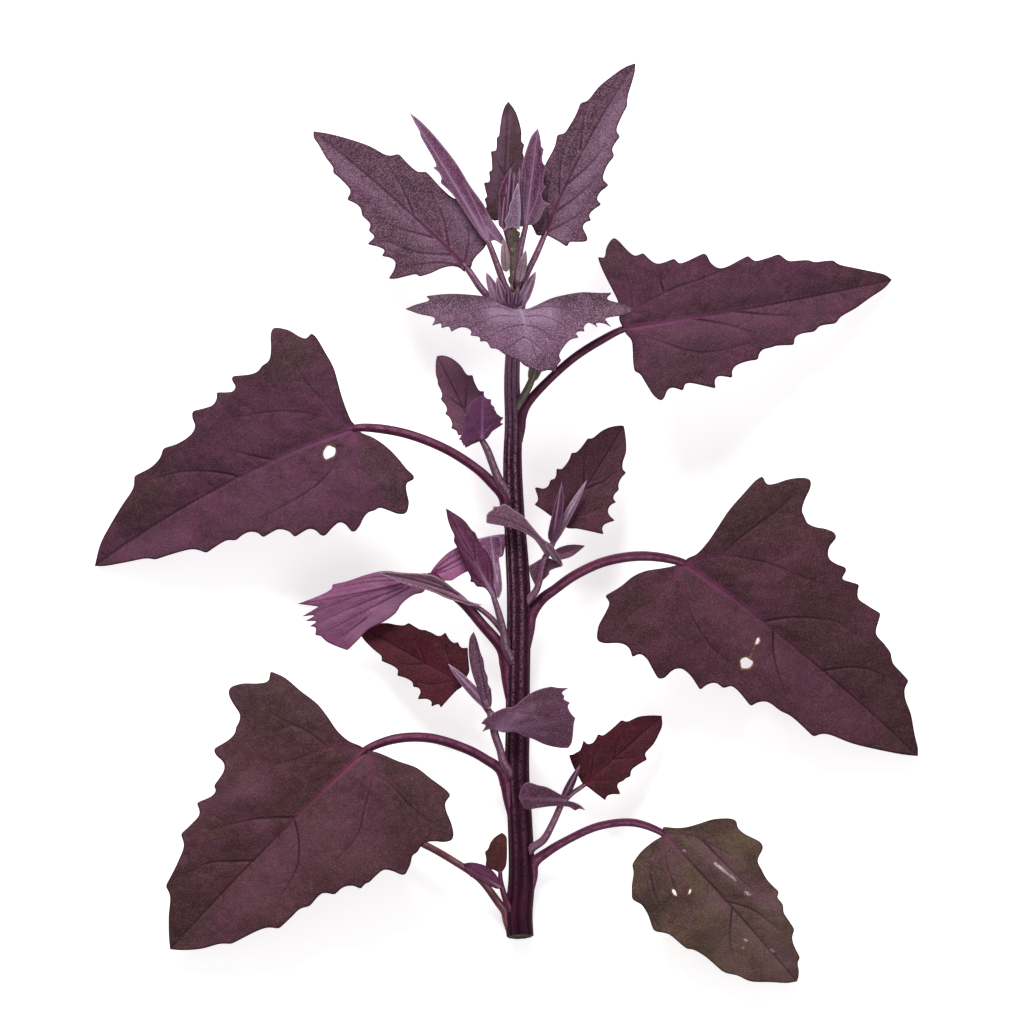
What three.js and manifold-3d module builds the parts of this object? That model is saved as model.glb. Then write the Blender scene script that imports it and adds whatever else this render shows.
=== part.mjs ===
// A cut shoot of red orache (red mountain spinach), laid down on a table.
// Units are millimetres. +Z is up from the table, +Y runs from the cut end to the growing tip,
// and +X is to the right of the shoot as it is looked down on.
// The origin is on the table, under the middle of the shoot.
// The shoot rests on three low points: its cut end, and the tips of two large leaves.
import * as THREE from 'three';
import Module from 'manifold-3d';

const wasm = await Module();
wasm.setup();

// Driving sizes
const BLADE_THICKNESS = 0.8;
const HALF_BLADE = BLADE_THICKNESS / 2;
const FIT_GAP = 0.3;
const STEM_RIDGES = 10;
const STEM_RIDGE_HEIGHT = 0.35;
const STEM_STATIONS = 18;
const STALK_SIDES = 6;
const STATIONS_PER_POINT = 1.5;
const BASE_BLEND = 0.15;
const WAVE_REACH = 20;
const MIN_PITCH = 4;
const PITCH_PER_LENGTH = 0.1;
const ROW_SPACING = 0.87;
const ROWS_EACH_SIDE = 8;
const ANGLE_SLACK = 1e-6;

// The main stem's line: x, y, z and radius, from the cut end to the growing tip
const STEM_LINE = [
  [4.6, -136.3, 4.49, 4.5], [4.2, -129.4, 4.9, 4.6], [5.1, -117.8, 5.6, 4.4], [4.6, -99.7, 7.1, 4.1],
  [3.6, -83.2, 8.9, 4.1], [3.8, -67.0, 10.8, 4.0], [3.9, -51.8, 12.6, 4.0], [4.2, -25.4, 15.4, 4.0],
  [3.6, -12.2, 17.0, 3.8], [2.6, 4.3, 19.3, 3.4], [2.1, 20.8, 22.0, 3.1], [2.4, 32.3, 24.2, 2.9],
  [1.9, 47.2, 27.4, 2.6], [2.6, 62.0, 31.0, 2.4], [3.3, 76.2, 34.5, 2.2],
];

// Colours, as the eye sees them on the shoot
const COLOURS = {
  stem: 0x43182f,
  stalk: 0x5c2340,
  darkLeaf: 0x4a303a,
  oliveLeaf: 0x51423c,
  mealyLeaf: 0x6b4f60,
  lilacLeaf: 0x7a6074,
  underside: 0x7a4a70,
  shootLeaf: 0x4a2029,
  bud: 0x6a604a,
};

const material = (color) => new THREE.MeshStandardMaterial({ color, roughness: 0.75, metalness: 0 });

// Turns indexed points into a closed solid
function solidFrom(points, triangles) {
  const vertProperties = new Float32Array(points.flat());
  const triVerts = new Uint32Array(triangles.flat());
  return new wasm.Manifold(new wasm.Mesh({ numProp: 3, vertProperties, triVerts }));
}

// Turns a solid back into a drawable geometry
function geometryOf(solid) {
  const mesh = solid.getMesh();
  const geometry = new THREE.BufferGeometry();
  geometry.setAttribute('position', new THREE.BufferAttribute(new Float32Array(mesh.vertProperties), 3));
  geometry.setIndex(new THREE.BufferAttribute(new Uint32Array(mesh.triVerts), 1));
  geometry.computeVertexNormals();
  return geometry;
}

const union = (solids) => solids.reduce((sum, next) => sum.add(next));

// The largest piece of a solid that a cut may have left in several
function largestOf(solid) {
  const pieces = solid.decompose();
  return pieces.reduce((best, next) => (next.volume() > best.volume() ? next : best));
}

// A tapered rod along a smooth line of [x, y, z, radius] points; extra makes it fatter and longer
function rod(line, { sides = STALK_SIDES, stations, extra = 0, ridge = 0 } = {}) {
  const knots = line.map(([x, y, z]) => new THREE.Vector3(x, y, z));
  const curve = new THREE.CatmullRomCurve3(knots, false, 'centripetal');
  const steps = stations ?? Math.round(STATIONS_PER_POINT * line.length);
  const points = [];
  const triangles = [];
  const across = new THREE.Vector3();
  const upward = new THREE.Vector3();
  for (let i = 0; i <= steps; i++) {
    const t = i / steps;
    const place = t * (line.length - 1);
    const low = Math.min(Math.floor(place), line.length - 2);
    const radius = THREE.MathUtils.lerp(line[low][3], line[low + 1][3], place - low) + extra;
    const tangent = curve.getTangent(t);
    const lengthening = i === 0 ? -extra : i === steps ? extra : 0;
    const centre = curve.getPoint(t).addScaledVector(tangent, lengthening);
    across.set(tangent.y, -tangent.x, 0).normalize();
    upward.crossVectors(across, tangent).normalize();
    for (let k = 0; k < sides; k++) {
      const angle = (2 * Math.PI * k) / sides - Math.PI / 2;
      const reach = k % 2 ? radius - ridge : radius;
      const offset = across.clone().multiplyScalar(reach * Math.cos(angle));
      offset.addScaledVector(upward, reach * Math.sin(angle));
      points.push([centre.x + offset.x, centre.y + offset.y, centre.z + offset.z]);
    }
  }
  for (let i = 0; i < steps; i++) {
    for (let k = 0; k < sides; k++) {
      const a = i * sides + k;
      const b = i * sides + ((k + 1) % sides);
      triangles.push([a, b + sides, b], [a, a + sides, b + sides]);
    }
  }
  const last = steps * sides;
  for (let k = 1; k < sides - 1; k++) {
    triangles.push([0, k, k + 1], [last, last + k + 1, last + k]);
  }
  return solidFrom(points, triangles);
}

// The leaf's own frame: s runs from its base towards its tip, w to the left of that, both in plan
function frameOf(leaf) {
  const [bx, by, bz] = leaf.base;
  const [tx, ty, tz] = leaf.tip;
  const reach = Math.hypot(tx - bx, ty - by);
  const [ux, uy] = leaf.heading ?? [(tx - bx) / reach, (ty - by) / reach];
  const length = (tx - bx) * ux + (ty - by) * uy;
  const lean = (ty - by) * ux - (tx - bx) * uy;
  const { arch = 0, bow = 0, fold = 0, curl = 0, roll = 0, wave = 0, ripple = 25 } = leaf;
  const midrib = (s) => {
    const t = THREE.MathUtils.clamp(s / length, 0, 1);
    return lean * t + 4 * bow * t * (1 - t);
  };
  const rise = (s) => {
    const t = Math.min(s / length, 1);
    const soft = t > BASE_BLEND ? t : t < -BASE_BLEND ? 0 : (t + BASE_BLEND) ** 2 / (4 * BASE_BLEND);
    return bz + (tz - bz) * soft + 4 * arch * soft * (1 - soft);
  };
  const height = (s, w) => {
    const out = w - midrib(s);
    const far = Math.min(Math.abs(out) / WAVE_REACH, 1);
    const waved = wave * far * Math.sin((2 * Math.PI * s) / ripple + Math.sign(out));
    return rise(s) + fold * Math.abs(out) - curl * out * out + roll * out + waved;
  };
  const place = (s, w) => [bx + ux * s - uy * w, by + uy * s + ux * w, height(s, w)];
  return { length, midrib, place };
}

// How deep inside an outline a point lies, or below zero where it is outside
function depthInside(outline, [x, y]) {
  let nearest = Infinity;
  let inside = false;
  outline.forEach(([ax, ay], i) => {
    const [bx, by] = outline[(i + 1) % outline.length];
    if (ay > y !== by > y && x < ax + ((bx - ax) * (y - ay)) / (by - ay)) inside = !inside;
    const span = (bx - ax) ** 2 + (by - ay) ** 2;
    const t = THREE.MathUtils.clamp(((x - ax) * (bx - ax) + (y - ay) * (by - ay)) / span, 0, 1);
    nearest = Math.min(nearest, Math.hypot(x - ax - t * (bx - ax), y - ay - t * (by - ay)));
  });
  return inside ? nearest : -nearest;
}

// Staggered rows of points inside an outline, one row of them down the midrib
function pointsInside(frame, outline) {
  const pitch = Math.max(MIN_PITCH, PITCH_PER_LENGTH * frame.length);
  const inside = [];
  for (let row = -ROWS_EACH_SIDE; row <= ROWS_EACH_SIDE; row++) {
    const start = (row % 2 ? 0.5 : 0) * pitch - 2 * pitch;
    for (let s = start; s < frame.length; s += pitch) {
      const point = [s, frame.midrib(s) + row * ROW_SPACING * pitch];
      const margin = row ? 0.4 * pitch : 0.05 * pitch;
      if (depthInside(outline, point) > margin) inside.push(point);
    }
  }
  return inside;
}

// Twice the area of the triangle a, b, c; above zero where it turns left
const turnOf = ([ax, ay], [bx, by], [cx, cy]) => (bx - ax) * (cy - ay) - (by - ay) * (cx - ax);

// The angle at c between a and b
function angleAt([cx, cy], [ax, ay], [bx, by]) {
  const dot = (ax - cx) * (bx - cx) + (ay - cy) * (by - cy);
  const spans = Math.hypot(ax - cx, ay - cy) * Math.hypot(bx - cx, by - cy);
  return Math.acos(THREE.MathUtils.clamp(dot / spans, -1, 1));
}

// Turns the shared edges of triangles until few of them are long and thin
function evenOut(points, triangles) {
  const turn = (a, b, c) => turnOf(points[a], points[b], points[c]);
  for (let turned = 1; turned > 0; ) {
    turned = 0;
    const owners = new Map();
    triangles.forEach((triangle, t) => {
      triangle.forEach((a, k) => owners.set(`${a} ${triangle[(k + 1) % 3]}`, [t, triangle[(k + 2) % 3]]));
    });
    const settled = new Set();
    for (const [edge, [t, c]] of owners) {
      const [a, b] = edge.split(' ').map(Number);
      const [other, d] = owners.get(`${b} ${a}`) ?? [];
      if (other === undefined || settled.has(t) || settled.has(other)) continue;
      const facing = angleAt(points[c], points[a], points[b]) + angleAt(points[d], points[a], points[b]);
      if (facing > Math.PI + ANGLE_SLACK && turn(a, d, c) > 0 && turn(d, b, c) > 0) {
        triangles[t] = [a, d, c];
        triangles[other] = [d, b, c];
        settled.add(t).add(other);
        turned++;
      }
    }
  }
}

// Triangles over an outline, with points inside it added one by one
function triangulate(outline, inside) {
  const points = [...outline, ...inside];
  const turn = (a, b, c) => turnOf(points[a], points[b], points[c]);
  const rough = THREE.ShapeUtils.triangulateShape(outline.map(([x, y]) => new THREE.Vector2(x, y)), []);
  const triangles = rough.map(([a, b, c]) => (turn(a, b, c) > 0 ? [a, b, c] : [a, c, b]));
  for (let p = outline.length; p < points.length; p++) {
    const holds = ([a, b, c]) => Math.min(turn(a, b, p), turn(b, c, p), turn(c, a, p)) >= 0;
    const t = triangles.findIndex(holds);
    const [a, b, c] = triangles[t];
    triangles.splice(t, 1, [a, b, p], [b, c, p], [c, a, p]);
    evenOut(points, triangles);
  }
  return triangles;
}

// A blade with a toothed margin: the same triangles on both faces, and a wall round the edge
function blade(leaf) {
  const frame = frameOf(leaf);
  const tip = [frame.length, frame.midrib(frame.length)];
  const outline = [[0, 0], ...leaf.right, tip, ...leaf.left.slice().reverse()];
  const inside = pointsInside(frame, outline);
  const triangles = triangulate(outline, inside);
  const middle = [...outline, ...inside].map(([s, w]) => frame.place(s, w));
  const shifted = (rise) => middle.map(([x, y, z]) => [x, y, z + rise]);
  const under = middle.length;
  const shell = [...triangles, ...triangles.map(([a, b, c]) => [a + under, c + under, b + under])];
  outline.forEach((_, a) => {
    const b = (a + 1) % outline.length;
    shell.push([a + under, b + under, b], [a + under, b, a]);
  });
  return solidFrom([...shifted(HALF_BLADE), ...shifted(-HALF_BLADE)], shell);
}

// The stalk's line carried on along the blade as a raised midrib that thins towards the tip
function midribLine(leaf, startRadius) {
  const frame = frameOf(leaf);
  return [0, 0.25, 0.55, 0.88].map((t, i) => {
    const s = t * frame.length;
    return [...frame.place(s, frame.midrib(s)), [startRadius, 0.75 * startRadius, 0.62, 0.45][i]];
  });
}

// A leaf's stalk and midrib as one rod, ending at the blade's own base
function stalkAndMidrib(leaf, extra = 0) {
  const stalk = leaf.stalk.map(([x, y, z]) => [x, y, z, leaf.stalkRadius]);
  return rod([...stalk, ...midribLine(leaf, 0.85 * leaf.stalkRadius)], { extra });
}

const leafSolid = (leaf) => union([blade(leaf), stalkAndMidrib(leaf)]);

// Large leaves, each with its stalk. Margins are read from the base lobes to the tip.
const LOWER_LEFT = {
  base: [-46.2, -74.9, 22], tip: [-111.1, -140.9, 5.5], arch: 3, bow: -1,
  fold: 0.2, curl: 0.005, roll: 0.04, wave: 0.8, ripple: 30, stalkRadius: 1.65,
  stalk: [
    [4, -87.5, 9.2], [-2, -81.5, 11.2], [-6.6, -78.2, 13.6], [-12.6, -74.9, 16.6], [-25.1, -71, 21],
    [-36.7, -71.3, 23],
  ],
  left: [
    [-2, 3], [-4.9, 10.2], [-7.6, 16], [-8.3, 21.6], [-9.2, 28.4], [-9, 30.4], [-6, 30.8],
    [-4.5, 32.5], [-2.5, 37], [1.2, 41], [3.5, 39.7], [6, 36.8], [8.8, 35.1], [12.5, 35.8],
    [16.5, 36.8], [20.3, 38.1], [22.2, 34.5], [24, 31.9], [27, 31.4], [30.5, 31.4], [34, 30.9],
    [34.8, 28.5], [37.5, 26.4], [41.3, 26.1], [43.8, 22.9], [49.9, 22.9], [52.5, 21.3], [57, 21.1],
    [62.2, 20.9], [65, 17.7], [77, 13.2], [79.5, 10.6], [84.8, 7.5], [89, 4],
  ],
  right: [
    [0.3, -2.2], [1.8, -6], [2.1, -11], [1, -17], [0.4, -22], [1.2, -29], [1.8, -36], [3.6, -40.8],
    [6.4, -39], [9.5, -41], [13, -44.5], [17, -46.4], [18.7, -45.2], [20, -41.5], [20.8, -38],
    [25, -35.8], [28.5, -34.6], [35, -36.1], [35.9, -34.5], [36, -30.5], [37.5, -28.8], [43.8, -27.5],
    [46, -25.6], [51.8, -27.7], [53.8, -24.3], [58, -24], [62.8, -24.2], [64.6, -20.9], [70.5, -18.2],
    [78.6, -15.7], [79.8, -12.5], [85, -8], [90, -3],
  ],
};

const UPPER_LEFT = {
  base: [-49.7, 31.2, 29], tip: [-136.1, -14.3, HALF_BLADE], arch: 3, bow: -3.8,
  fold: 0.2, curl: 0.005, wave: 0.8, ripple: 34, stalkRadius: 1.6,
  stalk: [
    [2.4, 6.2, 19.6], [-0.4, 9.2, 20.6], [-4.7, 13.2, 22.6], [-9.3, 17.5, 25], [-19.5, 24.1, 28.6],
    [-31.7, 29, 30.4], [-41.6, 31, 30.2],
  ],
  left: [
    [-1.5, 2.8], [-3.2, 4.6], [-6, 9.5], [-7.8, 15], [-8.8, 20], [-9.3, 24], [-6.5, 24], [-5.2, 26.5],
    [-1.6, 32.6], [0.8, 31.5], [3.2, 28.8], [5.4, 26.8], [11, 27.2], [16.2, 30.2], [17.5, 26.8],
    [19, 25], [25.5, 26.8], [27.2, 23.8], [28.8, 22.3], [34.5, 22.5], [35.2, 20], [38, 17.6],
    [43.8, 17.7], [44.6, 15.5], [47, 13.9], [52.2, 14.4], [54.5, 13], [62.8, 13.5], [64.5, 11.5],
    [66.3, 10.2], [78.8, 7.5], [81, 5.9], [88, 3.7], [94, 1.5],
  ],
  right: [
    [0, -2.5], [-0.2, -6], [-1, -11.5], [-2, -16], [-3, -21], [-2.9, -27], [-1.8, -34.6], [0.6, -33.7],
    [2.3, -35.5], [4.5, -39], [8.6, -41.8], [10.3, -40.3], [12.3, -36.3], [14.8, -33], [19.5, -31.6],
    [22, -31.8], [28, -34.2], [28.5, -30.5], [30, -29.6], [35, -31.9], [35.9, -30], [38, -28.7],
    [45, -30.1], [46.3, -25.5], [48.2, -23.8], [53.5, -22.9], [59.3, -23.8], [61.5, -21.6],
    [72, -20.2], [74, -17], [80, -13.6], [86.5, -9.7], [92.5, -5.6],
  ],
};

const UPPER_RIGHT = {
  base: [38.8, 63.9, 31.5], tip: [127.6, 80.4, HALF_BLADE], arch: 4, bow: -0.8,
  fold: 0.2, curl: 0.006, wave: 0.7, ripple: 30, stalkRadius: 1.4,
  stalk: [[2.6, 36, 25], [7, 39.4, 26.6], [14.1, 47.2, 30.4], [22.7, 54.7, 33], [31, 60, 33.2]],
  left: [
    [-1, 3], [-0.3, 9], [-1.3, 13], [-2.8, 18], [-4.2, 25.1], [-2.1, 24.2], [-1, 27], [2.3, 30.1],
    [3.8, 28.5], [5.5, 25.8], [8, 23], [10.8, 23.6], [12.5, 21], [14.5, 19.2], [20.7, 19.9],
    [21.8, 18], [24.5, 18.2], [30.5, 19.8], [32, 16.5], [34.5, 14], [37, 14], [44.8, 16.4],
    [46.5, 14.3], [49.5, 14.3], [55, 15.1], [57.5, 12.3], [64.2, 11.4], [65.8, 10.4], [72.4, 9.8],
    [73.5, 8.4], [79, 6], [84.5, 3.8],
  ],
  right: [
    [0.3, -1.8], [1.7, -3.8], [1.6, -7], [1, -14.5], [2.4, -15.5], [4, -19.5], [7.9, -25.5],
    [9.2, -24.3], [10.5, -22.3], [12, -21.9], [15.5, -23.7], [16.5, -21.5], [22, -23], [26.3, -24.9],
    [26.3, -22.2], [27.5, -21], [32.3, -22.4], [32.6, -20], [34, -18.7], [41.8, -18], [42.3, -16.2],
    [44, -15], [48, -14.6], [54.4, -15.4], [54.9, -13.2], [56.5, -12.3], [62, -12.3], [63.5, -10.9],
    [69.3, -10.9], [71, -9.2], [76.5, -7.2], [82, -4.6],
  ],
};

const MIDDLE_RIGHT = {
  base: [58.4, -13.2, 22], tip: [136.1, -77.1, 4], arch: 3, bow: 2,
  fold: 0.2, curl: 0.005, wave: 0.8, ripple: 32, stalkRadius: 1.7,
  stalk: [
    [5, -29, 12.8], [11.5, -25.4, 14.5], [15.8, -22.1, 16.6], [22.7, -17.2, 19.6], [33, -12.6, 22.2],
    [45.8, -10.9, 23.2],
  ],
  left: [
    [0, 1.9], [1.5, 5], [1.8, 11], [0.6, 23], [0.8, 30], [2, 38.8], [4.8, 37.6], [6.8, 39.5], [9, 43],
    [12.5, 46.7], [15, 47.8], [16.6, 46], [17.8, 41.5], [19.5, 38], [22.8, 36.2], [26, 36.8],
    [32, 39.5], [33.6, 38.7], [33.9, 34.5], [36, 31.8], [42.5, 33], [43.8, 29.3], [49.5, 31.5],
    [50.1, 30], [52, 27.7], [61, 28.6], [61.9, 26.5], [64, 22.4], [71.8, 20.7], [74.5, 18.5],
    [82.4, 17.3], [83, 14.5], [85, 12.2], [90, 9.2], [95, 5],
  ],
  right: [
    [-2.1, -3.1], [-4.5, -6], [-8, -10], [-10, -14], [-11, -19], [-13.1, -24.8], [-10.5, -25.6],
    [-9.4, -29], [-8.3, -34], [-5.5, -37.7], [-3, -36.8], [0, -34.2], [2.5, -33], [6.8, -34.8],
    [8, -32.3], [10.5, -32], [17.8, -34.8], [19.2, -33.5], [19.8, -29.5], [21.5, -27.4], [31, -28.9],
    [31.6, -26], [33.5, -23.7], [36.6, -23.6], [38, -21.3], [47.3, -22.4], [48.2, -20], [50.5, -17.8],
    [59.5, -16.5], [69.8, -17], [71, -14.8], [81, -10.6], [89.5, -6.5], [96.5, -2.7],
  ],
};

const LOWER_RIGHT = {
  base: [52.3, -102.8, 15], tip: [96.1, -151.6, 3.5], arch: 2.5, bow: 0.5,
  fold: 0.2, curl: 0.008, wave: 1.2, ripple: 22, stalkRadius: 1.4,
  stalk: [
    [6.5, -113.5, 6], [13.8, -108.6, 8.6], [20.4, -104.6, 11.2], [31, -100, 14.2], [42.5, -99, 15.6],
  ],
  left: [
    [-2.2, 1], [0.5, 3.8], [2.8, 6.6], [5, 11], [6.8, 15], [9, 18], [12.6, 20.7], [14.5, 19.5],
    [17.5, 19.8], [23.5, 21.9], [25.2, 21.1], [25.9, 19.2], [27, 17], [34, 15.2], [39.6, 15.5],
    [40.2, 13.9], [43.5, 13.6], [45.5, 12], [52.2, 11], [53.5, 8.7], [56, 7.3], [60.5, 6.1], [61, 4.4],
    [63.5, 2.8],
  ],
  right: [
    [-0.8, -4.5], [-0.9, -10], [0.4, -14.8], [2.5, -16], [5, -19], [8.6, -22.3], [12, -21.2],
    [16, -21.8], [21.5, -23.8], [23.3, -22.5], [25.5, -21], [33.2, -19.8], [34.5, -18.5], [39, -17],
    [48, -15.4], [51, -13.2], [55, -11.5], [60, -6.5],
  ],
};

// The lowest leaf, whose blade lies out of sight below the large lower left one
const LOWEST_LEFT = {
  base: [-33.4, -104, 7.4], tip: [-73, -113.9, 2.4], arch: 2,
  fold: 0.12, curl: 0.008, wave: 0.4, ripple: 16, stalkRadius: 1.25,
  stalk: [
    [1.5, -131, 4.7], [-2.4, -125.8, 5.5], [-8.6, -117.9, 6.8], [-17, -112, 7.6], [-26.5, -106.6, 7.8],
  ],
  left: [
    [-2, 2.5], [-3.2, 6], [-2, 8.6], [0, 9.4], [3, 8.2], [6, 8], [8, 8.7], [9.4, 7.4], [13, 7],
    [15.8, 7.6], [17.2, 6.2], [22, 5.8], [25, 6], [26.4, 4.6], [32, 3.2], [37, 1.5],
  ],
  right: [
    [-1.6, -2.4], [-2.6, -6], [-1, -8.8], [1.6, -9.6], [4.4, -8.2], [7, -7.8], [10, -8.6],
    [11.4, -7.2], [15.4, -6.8], [18.4, -7.2], [19.8, -5.8], [25, -5.2], [28, -5.3], [29.4, -4],
    [34.4, -2.4], [38, -1],
  ],
};

// Leaves of the growing end
const TOP_LEFT = {
  base: [-13.5, 84.7, 37], tip: [-63.5, 129.2, 21], arch: 2, bow: -1,
  fold: 0.12, curl: 0.006, wave: 0.5, ripple: 22, stalkRadius: 1.25,
  stalk: [[2.2, 64.6, 31.2], [-2, 69.4, 32.8], [-5.7, 74.2, 34.4], [-8.6, 77.6, 35.6]],
  left: [
    [-1.5, 1.8], [0.5, 1.7], [2.8, 2.8], [5, 5.5], [6.8, 9.5], [8.9, 12.9], [9.8, 12.6], [12, 15.3],
    [16, 20.1], [16.6, 16.5], [18, 14.3], [22.7, 16], [23.1, 13.8], [28.9, 16.2], [28.7, 12.7],
    [31.5, 12.6], [32.3, 10.6], [36.4, 10.3], [38.2, 8.8], [43.7, 9.7], [44.5, 6.8], [53.3, 6],
    [53.6, 5], [58.3, 3.8], [63, 2.2],
  ],
  right: [
    [-1, -2.5], [-0.7, -5], [-0.9, -8.5], [1, -14.5], [4, -14], [8, -17], [11, -15.2], [14, -15.5],
    [18, -14], [22, -13.9], [30.3, -14.7], [32, -12.9], [36, -12.6], [40.9, -13.1], [43, -10.4],
    [50, -8.5], [56.5, -5.8], [62.5, -2.8],
  ],
};

const TOP_LEFT_NARROW = {
  base: [-5.8, 92.2, 42], tip: [-31.9, 135.3, 29], arch: 3, bow: -0.4,
  fold: -0.45, roll: 0.1, stalkRadius: 1.15,
  stalk: [[2.1, 71.6, 34.4], [0.3, 75.5, 36.8], [-2.8, 84.4, 40]],
  left: [
    [2, 0.9], [9.3, 1.4], [19.3, 1.9], [23.3, 2.8], [25.1, 3.4], [26.3, 2.2], [28.3, 2.1], [30.8, 2.9],
    [33.3, 1.2], [37.8, 1.1], [42.8, 0.6], [47, 0.3],
  ],
  right: [
    [-0.2, -1.9], [-2.4, -3.2], [-4.4, -5], [0, -5.1], [7.3, -4.9], [11.3, -5.2], [19.3, -4.6],
    [27.8, -4.6], [37.3, -3.5], [42.3, -2.6], [46.3, -1.6],
  ],
};

const TOP_BACK = {
  base: [-1.1, 100.8, 35], tip: [0.7, 138.9, 25], arch: 1.5,
  fold: 0.25, stalkRadius: 1.05,
  stalk: [[2.8, 71.5, 31.6], [2.6, 77, 31], [2, 84, 31.4], [1, 92, 33.2]],
  left: [
    [-1.5, 2.5], [0, 5.1], [2, 6.5], [3.5, 6], [5.7, 6.4], [6.3, 5.5], [8.5, 6], [11, 6.8], [11.3, 5],
    [14.8, 5.3], [15, 4.4], [19, 4.6], [21.5, 5], [21.7, 3.4], [26.2, 3.3], [30, 2.3], [34, 1.8],
    [36.5, 1.1],
  ],
  right: [
    [-1.5, -2.5], [0, -5], [4, -6.5], [9, -6.8], [16, -6.3], [18.2, -5.8], [20.5, -6], [21.2, -5.6],
    [24.3, -6], [24.8, -5.1], [28.3, -4.8], [31, -4.1], [34.5, -2.8], [37, -1.1],
  ],
};

const TOP_MIDDLE = {
  base: [6.5, 98, 44], tip: [10.5, 130, 38], arch: 2.5,
  fold: -0.5, stalkRadius: 1.05,
  stalk: [[3.6, 75.2, 35.4], [4, 79.5, 38.6], [4.6, 84.4, 41.2], [5.6, 92, 43.4]],
  left: [[-0.8, 1.4], [0, 2.8], [5, 3.2], [12, 3.4], [18, 3.7], [22, 3.4], [26, 2.7], [29.5, 1.8]],
  right: [
    [0.3, -2.1], [1.9, -4.1], [6, -5.5], [7.9, -7.2], [8.5, -5], [10.9, -3.9], [13.4, -5.1],
    [13.8, -4.2], [16.1, -3.9], [20, -4], [21, -3], [25.7, -2.8], [26, -2.1], [29, -1.2],
  ],
};

const TOP_RIGHT = {
  base: [12.7, 94.9, 38], tip: [42.6, 151.6, 24], arch: 2.5, bow: 1.8,
  fold: 0.15, curl: 0.006, wave: 0.4, ripple: 20, stalkRadius: 1.1,
  stalk: [[3.2, 72, 32.8], [4.9, 76.9, 34.6], [7.3, 83, 36.4], [9.9, 88.4, 37.6]],
  left: [
    [-1, 1.6], [0.3, 4.5], [2, 7.5], [8, 9.5], [14, 10], [20.5, 10.6], [27.5, 10.7], [31.2, 11.8],
    [32.2, 10.1], [36, 9.5], [44, 9.9], [45.5, 8.3], [51.5, 7], [57, 4.7],
  ],
  right: [
    [0.1, -1.6], [0.1, -4.5], [-0.2, -8.6], [1.5, -8.3], [3, -11], [4.8, -13.4], [6.3, -12.2],
    [8, -9.9], [11.3, -11.6], [12.2, -10], [17.6, -12], [18.2, -9.9], [20.5, -9.6], [24.4, -11.2],
    [25, -8.6], [33.8, -8.3], [35, -6.6], [40.3, -7], [41.3, -5], [50.2, -4.3], [53, -3], [57.5, -2.1],
  ],
};

const TOP_FRONT = {
  base: [4.5, 70.6, 39.5], tip: [11.3, 49.6, 50], heading: [0, -1], arch: 4, bow: 0.2,
  fold: 0.1, curl: 0.0035, stalkRadius: 1.2,
  stalk: [[3, 63.5, 31.6], [3.8, 65.6, 35], [4.3, 68, 38]],
  left: [
    [-0.2, 2.5], [-1.9, 6.8], [-3.6, 10.8], [-4.6, 15.1], [-5.4, 20.4], [-5.2, 26.6], [-5.3, 30.4],
    [-3.3, 28.7], [-1.9, 32.6], [0.2, 37.8], [2.3, 33.2], [3.4, 28.1], [6.3, 30.3], [5, 25],
    [6.5, 25.8], [4.7, 22.3], [7.7, 21.4], [8.1, 18.4], [9.6, 19.5], [10.3, 16.7], [12.4, 14.6],
    [15.7, 12.9], [17.1, 13.7], [18.8, 12.3], [21.2, 11.9], [20.3, 9.8],
  ],
  right: [
    [-0.4, -2.5], [-1.8, -6.4], [-3.8, -10.5], [-4.6, -16.3], [-4.9, -21.3], [-4.7, -26.2],
    [-4.1, -31], [-2.9, -29.7], [-1.3, -34.4], [0.1, -37.8], [1.8, -33.1], [3.3, -27.9], [5.7, -29],
    [5, -25.8], [6.6, -25.9], [6, -23.2], [7.8, -22.6], [6.4, -20], [6.3, -17.9], [7.5, -15.9],
    [8.9, -16.4], [9.6, -13.1], [11, -13.2], [10.9, -11], [13.2, -9.6], [13.4, -7.4], [14.9, -5.4],
    [16.2, -2.7], [17.2, -0.1], [18.6, 1.1], [19.7, 3.5],
  ],
};

// Small pointed leaves in the front leaf's axil
const AXIL_LEAVES = [
  { base: [-2.2, 72.8, 38], tip: [-6.6, 82.6, 39.5], width: 1.5 },
  { base: [-0.7, 72.6, 38.6], tip: [-3, 80.7, 41.4], width: 1.3 },
  { base: [5.2, 72, 38.4], tip: [9.7, 82.8, 40.4], width: 1.5 },
];

// The folded leaf at the middle left: a hanging fan, a rolled front lobe and a back lobe on one stalk
const MIDDLE_LEFT = {
  base: [-24.4, -17.7, 20], tip: [-68.9, -26.7, 17], arch: 1.5, bow: 0.5,
  fold: -0.25, curl: 0.003, roll: -0.25, stalkRadius: 1.5,
  stalk: [
    [3.4, -46, 12.6], [-1.4, -41.6, 14.2], [-8, -33.5, 17.6], [-14.4, -26.1, 19.6], [-20.4, -21.4, 20],
  ],
  left: [
    [1.5, 2], [4, 4.5], [7.1, 4.7], [11.6, 6.8], [14.2, 9.4], [18.7, 11.5], [24.1, 12.9], [27.6, 15.3],
    [32.3, 18.4], [36, 16.1], [38.6, 14.1], [40.2, 11.9], [41.8, 11.4], [41.1, 8.9], [43, 8.1],
    [40.5, 7], [44.1, 6.1], [40.8, 4.9], [44.8, 4.4], [38.7, 2.3],
  ],
  right: [
    [1.5, -1.4], [3.7, -1.8], [9.5, -3.3], [15.3, -5], [21.5, -4.9], [27.7, -4.1], [32.9, -4],
    [33.1, -2.9], [34.8, -2], [40.7, -0.7],
  ],
};

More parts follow.
